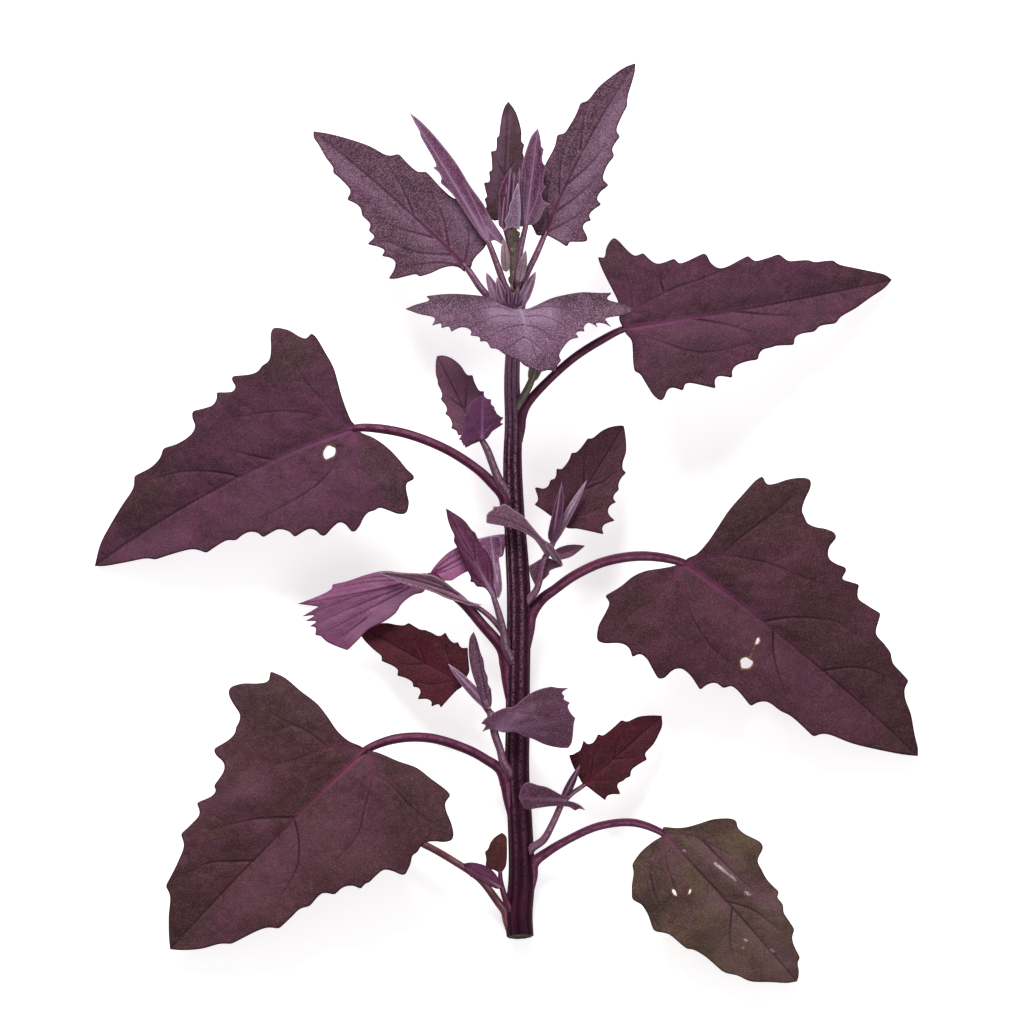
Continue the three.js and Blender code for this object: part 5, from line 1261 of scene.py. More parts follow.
# %% Leaf at the back of the growing end
TOP_BACK = dict(
    base=(-1.1, 100.8, 35), tip=(0.7, 138.9, 25), pitch=0.5, skin="dim", stalk_skin="young", arch=1.5,
    fold=0.25, pucker=0.5, stalk_radius=1.05,
    left=[(-1.5, 2.5), (0, 5.1, 1), (1, 5), (2, 6.5, 1), (2.7, 5.6), (3.5, 5.6), (5.7, 6.4, 1), (6.3, 5.5),
        (8, 6), (11, 6.8, 1), (11.3, 5), (12.5, 4.9), (14.8, 5.3, 1), (15, 4.4), (17, 4.4), (19, 4.6),
        (21.5, 5, 1), (21.7, 3.4), (25, 3.2), (26.2, 3.3, 1), (26.3, 2.7), (30, 2.3), (34, 1.8),
        (36.5, 1.1)],
    right=[(-1.5, -2.5), (0, -5), (4, -6.5), (9, -6.8), (14, -6.6), (18.2, -6), (20.5, -6, 1), (21.2, -5.6),
        (24.3, -6, 1), (24.8, -5.1), (28.3, -4.8), (31, -4.1), (34.5, -2.8), (37, -1.1)],
    veins=[[(4, 0.5), (9, 3.5)], [(6, -0.5), (12, -4)], [(14, 0.3), (19, 3)], [(14, -0.3), (20, -3.5)]],
    # the blush on the left half is painted light, and the second olive mark, on the right half, painted
    # shade, for the two halves of the fold
    blush=[(7, 3.5, 32, 1.6, 2.4, 0.9)],
    olive=[(0.5, 3, 6, 2.4, 2.4, 1.0), (6, -3.5, 34, -2, 3, 0.85)],
    stalk=[(2.8, 71.5, 31.6), (2.6, 77, 31), (2, 84, 31.4), (1, 92, 33.2)],
)
make_piece("leaf_top_back", leaf_parts(TOP_BACK))

# %% Top right leaf
TOP_RIGHT = dict(
    base=(12.7, 94.9, 38), tip=(42.6, 151.6, 24), pitch=0.6, skin="mealy", stalk_skin="young", arch=2.5,
    bow=1.8, fold=0.15, curl=0.006, wave=0.4, ripple=20, stalk_radius=1.1, pucker=1.3, crease=1.1,
    left=[(-1.5, 2), (0.3, 4.5), (2, 7.5), (8, 9.5), (14, 10, 1), (20.5, 10.6), (24, 10.6), (27.5, 10.7),
        (31.2, 11.8, 1), (32.2, 10.1), (36, 9.5), (40, 9.4), (44, 9.9, 1), (45.5, 8.3), (51.5, 7),
        (57, 4.7), (61.5, 2.3)],
    right=[(0.1, -0.5), (0.1, -4.5), (-0.2, -8.6, 1), (1.5, -8.3), (3, -11), (4.8, -13.4), (6.3, -12.2),
        (8, -9.9), (9.8, -10), (11.3, -11.6, 1), (12.2, -10), (14.2, -10.2), (17.6, -12, 1), (18.2, -9.9),
        (20.5, -9.6), (24.4, -11.2, 1), (25, -8.6), (29.5, -7.6), (33.8, -8.3, 1), (35, -6.6), (37.5, -6.5),
        (40.3, -7, 1), (41.3, -5), (46, -4.3), (50.2, -4.3, 1), (53, -3), (57.5, -2.1), (61.5, -1.2)],
    veins=[[(2, -1), (8, -5), (13, -8)], [(8, 0.5), (16, -3.5), (24, -6.5)],
        [(18, 1.2), (28, -2.5), (36, -4)], [(4, 1), (12, 5.5), (20, 8)], [(14, 2), (24, 6.5), (34, 8)],
        [(30, 2.5), (40, 6.5), (46, 7.5)]],
    blush=[(2, -4.4, 50, -2.4, 3.4, 0.8)],
    olive=[(26, 6, 56, 3, 4, 0.5), (8, 5, 20, 6, 4, 0.3), (10, -9, 22, -8, 3, 0.35)],
    stalk=[(3.2, 72, 32.8), (4.9, 76.9, 34.6), (7.3, 83, 36.4), (9.9, 88.4, 37.6)],
)
make_piece("leaf_top_right", leaf_parts(TOP_RIGHT))

# %% Narrow folded leaf at the top left
TOP_LEFT_NARROW = dict(
    base=(-5.8, 92.2, 42), tip=(-31.9, 135.3, 29), pitch=0.45, skin="pink", stalk_skin="young", arch=3,
    bow=-0.4, fold=-0.45, roll=0.1, pucker=0.3, branched=False, stalk_radius=1.15,
    left=[(2, 0.9), (9.3, 1.4), (19.3, 1.9), (23.3, 2.8), (25.1, 3.4, 1), (26.3, 2.2), (28.3, 2.1),
        (30.8, 2.9, 1), (30.5, 1.7), (33.3, 1.2), (37.8, 1.1), (41.8, 1, 1), (42.8, 0.5), (47, 0.3)],
    right=[(-0.2, -1.9), (-1, -2.6), (-2.4, -3.2), (-4.4, -5, 1), (0, -5.1), (7.3, -4.9), (11.3, -5.2),
        (19.3, -4.6), (27.8, -4.6), (37.3, -3.5), (42.3, -2.6), (46.3, -1.6)],
    veins=[[(2, -1), (12, -2.6), (22, -3.4)], [(5, -2.2), (0, -3), (-3.4, -4.4)]],
    blush=[(8, 1.4, 30, 1.4, 0.6, 0.6), (-3, -4, 7, -4, 1.6, 1.0)],
    stalk=[(2.1, 71.6, 34.4), (0.3, 75.5, 36.8), (-2.8, 84.4, 40)],
)
make_piece("leaf_top_left_narrow", leaf_parts(TOP_LEFT_NARROW))

# %% Folded leaf in the middle of the growing end
TOP_MIDDLE = dict(
    base=(6.5, 98, 44), tip=(10.5, 130, 38), pitch=0.45, skin="pink", stalk_skin="young", arch=2.5,
    fold=-0.5, pucker=0.3, branched=False, stalk_radius=1.05,
    left=[(-0.8, 1.4), (0, 2.8), (5, 3.2), (12, 3.4), (18, 3.7), (22, 3.4), (26, 2.7), (29.5, 1.8)],
    right=[(0.3, -2.1), (1.9, -4.1), (4, -4.9), (6, -5.5), (7.9, -7.2, 1), (8.5, -5), (9.6, -4.2),
        (10.9, -3.9), (13.4, -5.1, 1), (13.8, -4.2), (16.1, -3.9), (20, -4), (21, -3), (23, -2.6),
        (25.7, -2.8, 1), (26, -2.1), (29, -1.2)],
    veins=[[(2, 0.6), (10, 2), (18, 2.4)], [(3, -0.8), (10, -2.6), (18, -2.6)]],
    blush=[(0.5, -3.2, 8, -5, 1.6, 1.0), (0, 2, 6, 2.4, 0.8, 0.7)],
    stalk=[(3.2, 75.2, 35.4), (3.2, 79.5, 38.6), (3.8, 84.4, 41.2), (5.1, 92, 43.4)],
)
make_piece("leaf_top_middle", leaf_parts(TOP_MIDDLE))

# %% [markdown]
# ## The folded leaf at the middle left
# This leaf has turned over: its mauve underside hangs as a fan with a toothed end, its front lobe is rolled
# to a strip, and its back lobe lies behind. One sheet with such folds would need sculpting by hand. Three
# blades that meet at the stalk look the same and keep the one law of height. A strand runs beside the stalk.

# %% Folded leaf: fan, lobes and strand
STRAND_SIDES = 14
STRAND_STEP = 0.8
STRAND_RIDGE_HEIGHT = 0.1

MIDDLE_LEFT = dict(
    base=(-24.4, -17.7, 20), tip=(-68.9, -26.7, 17), pitch=0.5, skin="mauve", stalk_skin="stalk", arch=1.5,
    bow=0.5, fold=-0.25, curl=0.003, roll=-0.25, branched=False, crease=0.6, stalk_radius=1.8, pucker=0.7,
    left=[(1.5, 2), (4, 4.5), (7.1, 4.7), (11.6, 6.8), (14.2, 9.4), (18.7, 11.5), (24.1, 12.9),
        (27.6, 15.3), (32.3, 18.4, 1), (36, 16.1), (38.6, 14.1), (40.2, 11.9), (41.8, 11.4, 1), (41.1, 8.9),
        (43, 8.1, 1), (40.5, 7), (44.1, 6.1, 1), (40.8, 4.9), (44.8, 4.4, 1), (38.7, 2.3, 1)],
    right=[(1.5, -1.4), (3.7, -1.8), (9.5, -3.3), (15.3, -5), (21.5, -4.9), (27.7, -4.1), (32.9, -4, 1),
        (33.1, -2.9), (34.8, -2), (40.7, -0.7)],
    veins=[[(8, 2), (18, 5), (30, 8.5), (38, 11)], [(10, 1.5), (22, 3.6), (32, 5.6), (40, 7.4)],
        [(12, 1), (24, 1.2), (34, 2.6), (40, 4)], [(8, -0.5), (20, -2.4), (32, -2.6)],
        [(10, -1.6), (18, -3.6), (28, -3.6)], [(24, 9), (30, 12), (35, 14)]],
    blush=[(10, 4.5, 28, 13, 2.8, 0.8), (16, 2.2, 32, 14.6, 0.5, 1.0), (30, 6, 38, 8, 3, 0.4)],
    # this olive mark is painted shade over the upper zone of the fan
    olive=[(12, -3, 34, -2, 2, 0.35)],
    stalk=[(3.4, -46, 12.6), (-1.4, -41.6, 14.2), (-8, -33.5, 17.6), (-14.4, -26.1, 19.6),
        (-20.4, -21.4, 20)],
)
MIDDLE_LEFT_LOBES = [
    dict(base=(-7.6, -27.1, 21.4), tip=(-42.3, -16.5, 23.4), skin="strip", arch=1, bow=-1.4, fold=0.35,
        pucker=0.15, branched=False, crease=1.6,
        left=[(4, 1.4), (7.5, 1.3), (11.6, 1.5), (16.3, 0.9), (21.5, 0.7), (26.7, 0.9), (30.2, 0.6)],
        right=[(4.5, 0), (9.1, -1.7), (13.5, -3.5), (18, -4.5), (23, -3.9), (29.4, -2.2), (34.2, -1.1)],
        veins=[[(5, 0.9), (12, 0.4), (20, -0.3), (30, -0.1)], [(9, -0.8), (16, -2.6), (24, -2.4)]]),
    dict(base=(-25.1, -17.2, 19.4), tip=(-0.4, -3.7, 16), skin="mauve", arch=0.5, fold=0.1, pucker=0.3,
        left=[(1, 1), (5.3, 2.8), (10.3, 3.8), (20.3, 2.8), (26, 1)],
        right=[(2, -3), (5.4, -5.1, 1), (10.2, -4.8), (16, -5.6), (24.2, -6, 1), (27, -2.5)],
        veins=[[(3, 1), (12, 2), (24, 1.4)], [(4, -1), (12, -1.8), (22, -2.6)]]),
]
# x, y, z and radius
MIDDLE_LEFT_STRAND = [
    (1.5, -43.5, 14.5, 0.8), (0.4, -39, 16, 1.0), (-3.7, -32.7, 18.4, 1.0), (-8.6, -28.4, 19.8, 0.9),
    (-14, -25.6, 20.2, 0.6),
]
strand = tube_arrays(MIDDLE_LEFT_STRAND, STRAND_SIDES, STRAND_STEP, STALK_RIDGES, STRAND_RIDGE_HEIGHT)
lobes = [(blade_arrays(lobe, MIDDLE_LEFT["pitch"], BLADE_MM), lobe["skin"]) for lobe in MIDDLE_LEFT_LOBES]
make_piece("leaf_middle_left", [*leaf_parts(MIDDLE_LEFT), *lobes, (strand, "young")])

# %% [markdown]
# ## The front leaf
# The broad leaf in front stands out from the stem toward the eye, so its two lobes reach to the left and the
# right of it. Its tip leans off its axis, so it has a heading of its own. In its axil stand small pointed
# leaves. They could have margins too, but they are so slender that a width is enough to draw them.

# %% Slender young leaves
# half the outline of a sliver: shares of its length and of its width
SLIVER_SHAPE = ((0.04, 0.6), (0.25, 1), (0.55, 0.95), (0.8, 0.6), (0.93, 0.25))


def sliver(base, tip, width, skin, fold=0.5, arch=0.4, **marks):
    """A slender young leaf from a width alone."""
    length = math.hypot(tip[0] - base[0], tip[1] - base[1])
    left = [(t * length, w * width) for t, w in SLIVER_SHAPE]
    right = [(s, -w) for s, w in left]
    form = dict(base=base, tip=tip, arch=arch, fold=fold, left=left, right=right)
    return dict(form, pucker=0.15, branched=False, skin=skin, **marks)


# %% Front leaf
TOP_FRONT = dict(
    base=(4.5, 70.6, 39.5), tip=(11.3, 49.6, 50), pitch=0.55, skin="lilac", stalk_skin="young",
    heading=(0, -1), arch=4, bow=0.2, fold=0.1, curl=0.0035, crease=0.9, branched=False, stalk_radius=1.2,
    pucker=1.2,
    left=[(0.1, 2.5), (-1.7, 6.8), (-3.5, 10.8), (-4.5, 15.1), (-5.3, 20.4), (-5.1, 26.6), (-5.2, 30.4, 1),
        (-3.2, 28.7), (-1.8, 32.6), (-1, 35.5), (0.3, 37.8, 1), (1.3, 36.5), (2.4, 33.2), (3.5, 28.1),
        (4.4, 28.6), (6.4, 30.3, 1), (5.1, 27.8), (5, 25), (6.6, 25.8, 1), (5.4, 24.2), (4.8, 22.3),
        (6.4, 21), (7.8, 21.4, 1), (7.6, 19.6), (8.2, 18.4), (9.7, 19.5, 1), (10.4, 16.7), (12.5, 14.6),
        (15.8, 12.9), (17.2, 13.7, 1), (18.9, 12.3), (21.3, 11.9, 1), (20.4, 9.8)],
    right=[(0, -2.4), (-1.7, -6.4), (-3.7, -10.5), (-4.5, -16.3), (-4.8, -21.3), (-4.6, -26.2),
        (-4, -31, 1), (-2.8, -29.7), (-1.2, -34.4), (0.2, -37.8, 1), (1.9, -33.1), (3.4, -27.9),
        (5.8, -29, 1), (5.1, -25.8), (6.7, -25.9, 1), (6.1, -23.2), (7.9, -22.6, 1), (6.5, -20),
        (6.4, -17.9), (7.6, -15.9), (9, -16.4, 1), (9.7, -13.1), (11.1, -13.2, 1), (11, -11),
        (13.3, -9.6, 1), (13.5, -7.4), (15, -5.4), (16.3, -2.7), (17.3, -0.1), (18.7, 1.1, 1), (19.8, 3.5)],
    veins=[[(1, 1.5), (-0.6, 8), (0.4, 15), (3, 21)], [(2.4, 0.8), (2.4, 7), (4.4, 12.5), (8, 17)],
        [(5.4, 1), (6.4, 5.5), (9, 9.5), (12.5, 12.5)], [(9.4, 1.6), (11.6, 5), (14.8, 8)],
        [(1, -1), (-0.6, -7.5), (0.6, -15), (3, -22)], [(2.4, 0), (2.4, -6.5), (4.4, -12.5), (7, -17)],
        [(5.4, 0.6), (6.4, -4), (8.6, -8.5), (11, -11.5)], [(9.4, 1.2), (11.6, -2), (14.2, -4.6)]],
    blush=[(1.5, -8, 2, 9, 3.4, 1.0), (5, 2, 14, 3, 4, 0.5)],
    olive=[(-3, 17, -2, 36, 3.4, 0.7), (-2, -17, -1, -36, 3.4, 0.6), (5, 20, 3, 28, 2.4, 0.5)],
    stalk=[(3, 63.5, 31.6), (3.8, 65.6, 35), (4.3, 68, 38)],
)
print("front leaf, teeth", sum(len(mark) > 2 for side in ("left", "right") for mark in TOP_FRONT[side]))

# %% Small leaves in the axil of the front leaf
SMALLEST_PITCH = 0.4
OUTER_BLUSH = [(0, 0.6, 7, 0.4, 1.1, 1.0)]
AXIL_LEAVES = [
    sliver((-2, 71.6, 37.8), (-6.6, 82.6, 39.5), 1.75, "petal", blush=OUTER_BLUSH),
    sliver((-0.4, 71, 38.6), (-3.1, 81, 41.4), 1.45, "petal"),
    sliver((4.4, 71, 38.4), (9.8, 82.9, 40.4), 1.75, "petal", blush=OUTER_BLUSH),
    sliver((0.9, 70.8, 39.2), (0.6, 78.8, 42), 1.15, "berry"),
    sliver((3, 70.8, 39.4), (3.9, 77.8, 42), 1.0, "berry"),
]
# where their stalks meet: x, y, z and radius
AXIL_ROOT = (4.2, 67.4, 37.4, 0.8)
# radius of such a stalk where the leaf begins and where it ends, a third of the way along the leaf
AXIL_RADIUS = 0.7
AXIL_END_RADIUS = 0.3
AXIL_SIDES = 10
AXIL_STEP = 0.8

front_parts = leaf_parts(TOP_FRONT)
for leaf in AXIL_LEAVES:
    reach = [(2 * b + t) / 3 for b, t in zip(leaf["base"], leaf["tip"])]
    line = [AXIL_ROOT, (*leaf["base"], AXIL_RADIUS), (*reach, AXIL_END_RADIUS)]
    front_parts.append((blade_arrays(leaf, SMALLEST_PITCH, YOUNG_BLADE_MM), leaf["skin"]))
    front_parts.append((tube_arrays(line, AXIL_SIDES, AXIL_STEP), "young"))
make_piece("leaf_top_front", front_parts)

# %% [markdown]
# ## The side shoots
# In the axil of each large leaf sits a short leafy shoot, with small toothed leaves, some still folded to
# slivers. They could be copies of one small leaf, but the eye finds a repeat at once, so each is marked out
# too. Each shoot is one piece: its little stems, as rows of x, y, z and radius, and all its leaves.

# %% Build a side shoot
SHOOT_PITCH = 0.5
SHOOT_SIDES = 16
SHOOT_STEP = 0.7
SHOOT_RIDGES = 5
SHOOT_RIDGE_HEIGHT = 0.14


def make_side_shoot(name, stems, leaves, stem_skin):
    """A side shoot as one piece. Its first stem grows out of the main stem, the next out of the first."""
    parts = []
    for line in [joined(stems[0], SHOOT_JOINT), *stems[1:]]:
        tube = tube_arrays(line, SHOOT_SIDES, SHOOT_STEP, SHOOT_RIDGES, SHOOT_RIDGE_HEIGHT)
        parts.append((tube, stem_skin))
    parts += [(blade_arrays(leaf, SHOOT_PITCH, YOUNG_BLADE_MM), leaf["skin"]) for leaf in leaves]
    make_piece(name, parts)


# %% Side shoot in the axil of the upper left leaf
UPPER_LEFT_STEMS = [
    [(1.4, 10.6, 22.2, 1.3), (-2.4, 14.2, 24, 1.4), (-3.8, 17.5, 25, 1.4), (-6.3, 24.1, 27, 1.3),
        (-8.2, 27.6, 28, 1)],
]
UPPER_LEFT_SHOOT = [
    dict(base=(-8.6, 27.2, 27), tip=(-22.7, 55.1, 22), skin="plum", arch=1, fold=0.15, curl=0.008,
        pucker=0.6, branched=False,
        # these blushes cover the whole blade: painted light that lifts the shadow the front leaf casts on it
        blush=[(2, -4, 26, -3, 8, 1.0), (2, 3, 20, 2, 4, 0.8)],
        left=[(-0.2, 0.8), (0, 2.5), (-0.1, 5.5, 1), (1.2, 5.2), (2.4, 5.9, 1), (3, 4.6), (4.2, 4.3),
            (4.6, 5.8, 1), (6.3, 5.5), (7.9, 6.8, 1), (8.8, 5.8), (11.5, 5.6), (13.1, 6.4, 1), (13.6, 5.4),
            (15, 4.9), (18, 5.5, 1), (18.8, 4.5), (20.5, 4.1), (23, 4.1, 1), (23.5, 3.7), (26, 3.2),
            (28.5, 2), (30.5, 0.8)],
        right=[(-0.4, -2.4), (0.6, -4.5), (2.5, -7.8, 1), (5, -7.6), (7, -9, 1), (8.5, -7.8),
            (10.3, -8.8, 1), (12.5, -7.8), (14, -8.6, 1), (14.5, -7.3), (18.5, -7.1), (20.4, -7.6, 1),
            (21, -6.1), (25, -5.4), (28.5, -3.8), (30.5, -1.8)],
        veins=[[(4, 0), (9, 4)], [(4, -0.5), (10, -5.5)], [(12, 0), (18, 3)], [(12, -0.5), (19, -5)]]),
    dict(base=(-8, 27.4, 29), tip=(-7.6, 41.8, 33), skin="violet", arch=1.2, fold=0.15, roll=0.1,
        pucker=0.4,
        left=[(0, 1.5), (-0.8, 3.5), (-2.2, 6.3, 1), (-0.6, 6.2), (-0.2, 7.7, 1), (1.2, 6.8), (3, 6),
            (5, 5.9), (7, 6.1), (9, 5.3), (11, 4.7), (13, 3.2), (14.2, 1.5)],
        right=[(0.3, -1.6), (2.5, -3), (4, -5), (5.5, -7.2, 1), (5.8, -5.9), (7.6, -7.1, 1), (7.8, -5.8),
            (8.4, -5.4, 1), (8.5, -4.7), (9.5, -4.5, 1), (10, -3.9), (11, -3.9, 1), (11.8, -2.7),
            (13.5, -2.8, 1), (13.5, -1.5), (14.3, -0.4)],
        veins=[[(1, 0), (5, 3)], [(2, -0.5), (6, -4)]]),
]
make_side_shoot("side_shoot_upper_left", UPPER_LEFT_STEMS, UPPER_LEFT_SHOOT, "shoot")

# %% Side shoot in the axil of the middle right leaf
MIDDLE_RIGHT_STEMS = [
    [(6.6, -25.4, 17, 1.1), (9.8, -22.4, 18.6, 1.1), (10.9, -19.4, 20, 1.1), (12.8, -11.5, 22.6, 1.1),
        (14.3, -9.4, 23, 1.1)],
    [(13.6, -10.6, 22.8, 1), (15.4, -6.6, 22.2, 1), (18.5, -0.8, 20.2, 0.9), (26.4, 12, 17.4, 0.6)],
]
MIDDLE_RIGHT_SHOOT = [
    dict(base=(18.5, -0.8, 20.8), tip=(38.8, 32.1, 14), skin="wine", arch=1.5, fold=0.12, curl=0.006,
        pucker=0.6,
        left=[(0.4, 1.8), (0.6, 4.5), (0.9, 8), (1, 11.5, 1), (2.5, 11.1), (3.5, 11.6), (5.8, 14.3, 1),
            (6.3, 13.8), (7, 11.7), (8.5, 10.8), (10.8, 11.2, 1), (11.8, 10.2), (13, 10.4), (15, 11.5, 1),
            (15.6, 10), (17, 9.6), (20, 9.5), (22, 10, 1), (22.8, 8.8), (25, 8.2), (28.9, 7.9, 1),
            (29.5, 6.8), (33.5, 5.2), (36, 3.5), (38, 1.2)],
        right=[(0.2, -2.3), (1.5, -4.5), (3, -8.5), (4.6, -13.2, 1), (6.2, -11.7), (7.5, -11.7),
            (10.5, -14, 1), (11, -11.5), (12, -10.3), (14, -10.1), (15.9, -11.2, 1), (16.3, -9.8),
            (17.5, -9.3), (19.8, -9.8, 1), (21, -8.8), (23.5, -8.4), (25.9, -8.9, 1), (26.2, -7.4),
            (28, -6.2), (31.5, -5.3), (34.5, -3.5), (37.3, -1.3)],
        veins=[[(3, 0.5), (8, 5), (13, 8)], [(3, -0.5), (8, -5), (12, -8)], [(14, 0), (20, 4), (25, 6)],
            [(14, 0), (20, -4), (25, -6)]]),
    dict(base=(15.1, -7, 24), tip=(18.3, 13.7, 27), skin="folded", arch=1, fold=0.5, pucker=0.2,
        branched=False,
        left=[(1.8, 1.6), (6, 1.8), (12, 1.2), (16, 0.7)],
        right=[(2.7, -1.2), (7.7, -1.8), (12, -1.9), (15.3, -1.6), (18.3, -0.9)]),
    sliver((14.8, -7.4, 24), (26.6, 14.1, 24.5), 1.4, "petal", fold=-0.5,
        blush=[(3, 0.3, 20, 0.3, 0.8, 0.9)]),
    sliver((13.2, -6.6, 25), (18.8, -14.2, 24.4), 1.1, "ash", fold=0.4),
    dict(base=(15.3, -10.4, 24), tip=(-6.5, 2.5, 27), skin="ash", arch=1.6, bow=-3, fold=-0.12, pucker=0.3,
        left=[(2, 1.2), (5.4, -0.3), (8.1, -1.3), (12.4, -1.3), (15.1, -0.9), (19, 0.3), (21.9, 1.4),
            (24.1, 2.2, 1)],
        right=[(1.5, -2.6), (5.1, -2.8), (10.2, -4.4), (14.6, -5.9), (18.8, -6.2), (22.3, -6.2),
            (23.2, -4.8), (25.1, -3.6, 1), (24.4, -2.9), (25.2, -1.5)]),
    dict(base=(14.6, -11, 22.6), tip=(26.1, -7.5, 18), skin="plum", arch=0.5, fold=0.4, pucker=0.2,
        left=[(0.8, 1), (3.4, 1.9), (6.6, 1.9), (9.1, 1.3)],
        right=[(0.5, -1.2), (2, -1.9), (6.1, -2.2), (9.1, -1.3)]),
    dict(base=(13.6, -11.4, 21.4), tip=(9.6, -20.8, 18.6), skin="ash", arch=0.3, fold=0.1, pucker=0.2,
        left=[(-0.2, 2.2), (-0.2, 4.3, 1), (0.8, 5.8, 1), (2, 4.1), (4, 2.4), (4.8, 2.8, 1), (8.6, 1.1)],
        right=[(1, -1.6), (3.7, -3.6), (4.9, -4.6, 1), (7.4, -3)]),
]
make_side_shoot("side_shoot_middle_right", MIDDLE_RIGHT_STEMS, MIDDLE_RIGHT_SHOOT, "young")

# %% Side shoot in the axil of the folded leaf
MIDDLE_LEFT_STEMS = [
    [(3, -47.5, 15.4, 1.2), (-0.2, -41, 18, 1.3), (-0.9, -36.1, 19.6, 1.3), (-2.4, -30.1, 22, 1.2),
        (-4.4, -23.6, 24, 0.9)],
]
MIDDLE_LEFT_SHOOT = [
    dict(base=(-3.4, -25.4, 23.4), tip=(-19.9, 4.9, 22), skin="magenta", arch=2, fold=-0.3, pucker=0.4,
        branched=False,
        left=[(1.5, 0.8), (3.5, 0.9), (5.5, 1.5), (7, 3.5), (8.5, 3.6), (9.3, 4.7, 1), (10.3, 3.8),
            (13, 3.6), (16, 3.3), (20, 3), (24, 2.9, 1), (24.8, 2), (28, 1.7), (31, 1.2)],
        right=[(1.5, -1), (5, -1.6), (8, -3.2), (12, -4.9), (15, -5), (18, -4.4), (20, -4.4), (23, -4.7, 1),
            (23.5, -4.2), (28, -3.4), (31, -2)],
        veins=[[(4, 0), (10, 2.4), (16, 2.6)], [(6, -0.4), (12, -3.4)], [(14, 0), (22, 1.8)],
            [(14, 0), (21, -3)]],
        blush=[(4, 0.5, 26, 0, 1.0, 0.9)]),
    dict(base=(-2.5, -25, 22.6), tip=(-5.1, -4.2, 18.6), skin="petal", arch=0.5, fold=0.1, pucker=0.3,
        branched=False,
        veins=[[(2, 0.4), (10, 2), (18, 3)], [(6, -0.3), (14, -1.2)]],
        left=[(0.8, 0.8), (4.5, 2.3), (11.4, 3.9), (17.5, 4.6), (20.5, 3.8, 1)],
        right=[(1.5, -1), (3.8, -1.7), (9.3, -1.9), (13.7, -2), (14.6, -3.2, 1), (20.6, -3, 1)]),
]
make_side_shoot("side_shoot_middle_left", MIDDLE_LEFT_STEMS, MIDDLE_LEFT_SHOOT, "shoot")

# %% Side shoot in the axil of the lower left leaf
LOWER_LEFT_STEMS = [
    [(2.2, -84.6, 12, 1.2), (-1, -78.9, 14.2, 1.3), (-2, -75, 15.4, 1.35), (-3.7, -70, 16.8, 1.4),
        (-5.3, -62.4, 18, 1.3)],
    [(-5.3, -62.8, 17.6, 1.2), (-9.6, -57, 17.4, 1), (-14, -53.2, 16.4, 0.8), (-24, -47.6, 13.4, 0.6)],
]
LOWER_LEFT_SHOOT = [
    dict(base=(-14, -53.2, 17.2), tip=(-48.4, -34, 7.5), skin="maroon", arch=1, fold=0.12, curl=0.006,
        pucker=0.6, branched=False,
        left=[(0.2, 1.6), (0.8, 2.5), (1.8, 6), (2.8, 10.6, 1), (3.8, 9.8), (4.5, 10.2), (5.8, 11.8, 1),
            (6.3, 10.4), (7.8, 10.1), (10.9, 11.8, 1), (11.3, 9), (12.5, 8.4), (14.2, 9, 1), (15, 7.8),
            (17.5, 7.6), (20.6, 8.3, 1), (21.2, 6.6), (23, 6.2), (27.5, 6.6, 1), (28, 5.4), (32, 4.5),
            (36.5, 3.1), (38.5, 1.8)],
        right=[(0.3, -2.8), (0.4, -4.5), (2, -7), (4, -10), (4.7, -11.3, 1), (6.2, -10.2), (7.2, -10.3),
            (8.5, -11.4, 1), (9.2, -10.4), (11, -10.5), (13.7, -12, 1), (14.2, -10.5), (15.3, -9.7),
            (17, -9.7), (20, -9.4, 1), (21, -8.8), (25.8, -8.8, 1), (26.5, -7.5), (29, -6.2), (32, -5.2),
            (37, -1.8)],
        veins=[[(3, 0.5), (9, 5), (14, 7)], [(3, -0.5), (8, -5), (13, -8)], [(14, 0), (20, 4)],
            [(14, 0), (21, -5)]]),
    sliver((-5.4, -61.4, 19.2), (-19.2, -46.4, 21), 1.7, "petal", fold=-0.5),
    dict(base=(-5.6, -61.8, 18.8), tip=(-10.7, -35.9, 17.6), skin="mealy", arch=1, fold=0.35, pucker=0.3,
        branched=False,
        left=[(0.5, 1.1), (7.6, 2.4), (13.6, 3.2), (19.7, 3), (22.9, 2.3), (25, 1.5)],
        right=[(1.8, -1.2), (6.8, -2, 1), (8.7, -1.3), (10.8, -1.7, 1), (13, -1.2), (16.8, -1.4, 1),
            (19, -0.9), (23.3, -0.6)]),
    dict(base=(-3.1, -68.5, 19), tip=(22.9, -64.4, 22), skin="dusk", arch=2.4, fold=-0.12, curl=0.004,
        pucker=0.5, branched=False,
        left=[(-2, 0.8), (-4.9, 0.3, 1), (-3.4, 2.4), (-4.9, 3, 1), (-3, 4.6), (-0.3, 5.9), (3.9, 7),
            (6.5, 6.9), (10.3, 9.1), (13.4, 10.6), (16.8, 11.4), (20.2, 11.6, 1), (21.6, 11),
            (25.7, 10.2, 1), (23.2, 8.9), (24.1, 7.6, 1), (23.4, 7), (25.5, 5.3, 1), (24.5, 4.5), (25, 2)],
        right=[(1.7, -0.9), (6.1, -1.5), (8.4, -3.2), (11.2, -4.5), (14.9, -7), (19.7, -8.9),
            (22.4, -9.4, 1), (23.7, -8), (24.7, -5.1), (25.6, -1.5)],
        veins=[[(1, 0), (7, 5), (12, 7.5), (18, 6.5)], [(8, 5), (13, 3), (17, 1)],
            [(5, 0), (13, -2), (20, -4)]],
        blush=[(1, 1, 8, 4.4, 2, 0.9), (8, 4.4, 13, 6, 1.4, 0.6)],
        olive=[(14, 7.5, 24, 9, 4, 0.45), (14, -4, 24, -5, 4, 0.3)]),
]
make_side_shoot("side_shoot_lower_left", LOWER_LEFT_STEMS, LOWER_LEFT_SHOOT, "young")

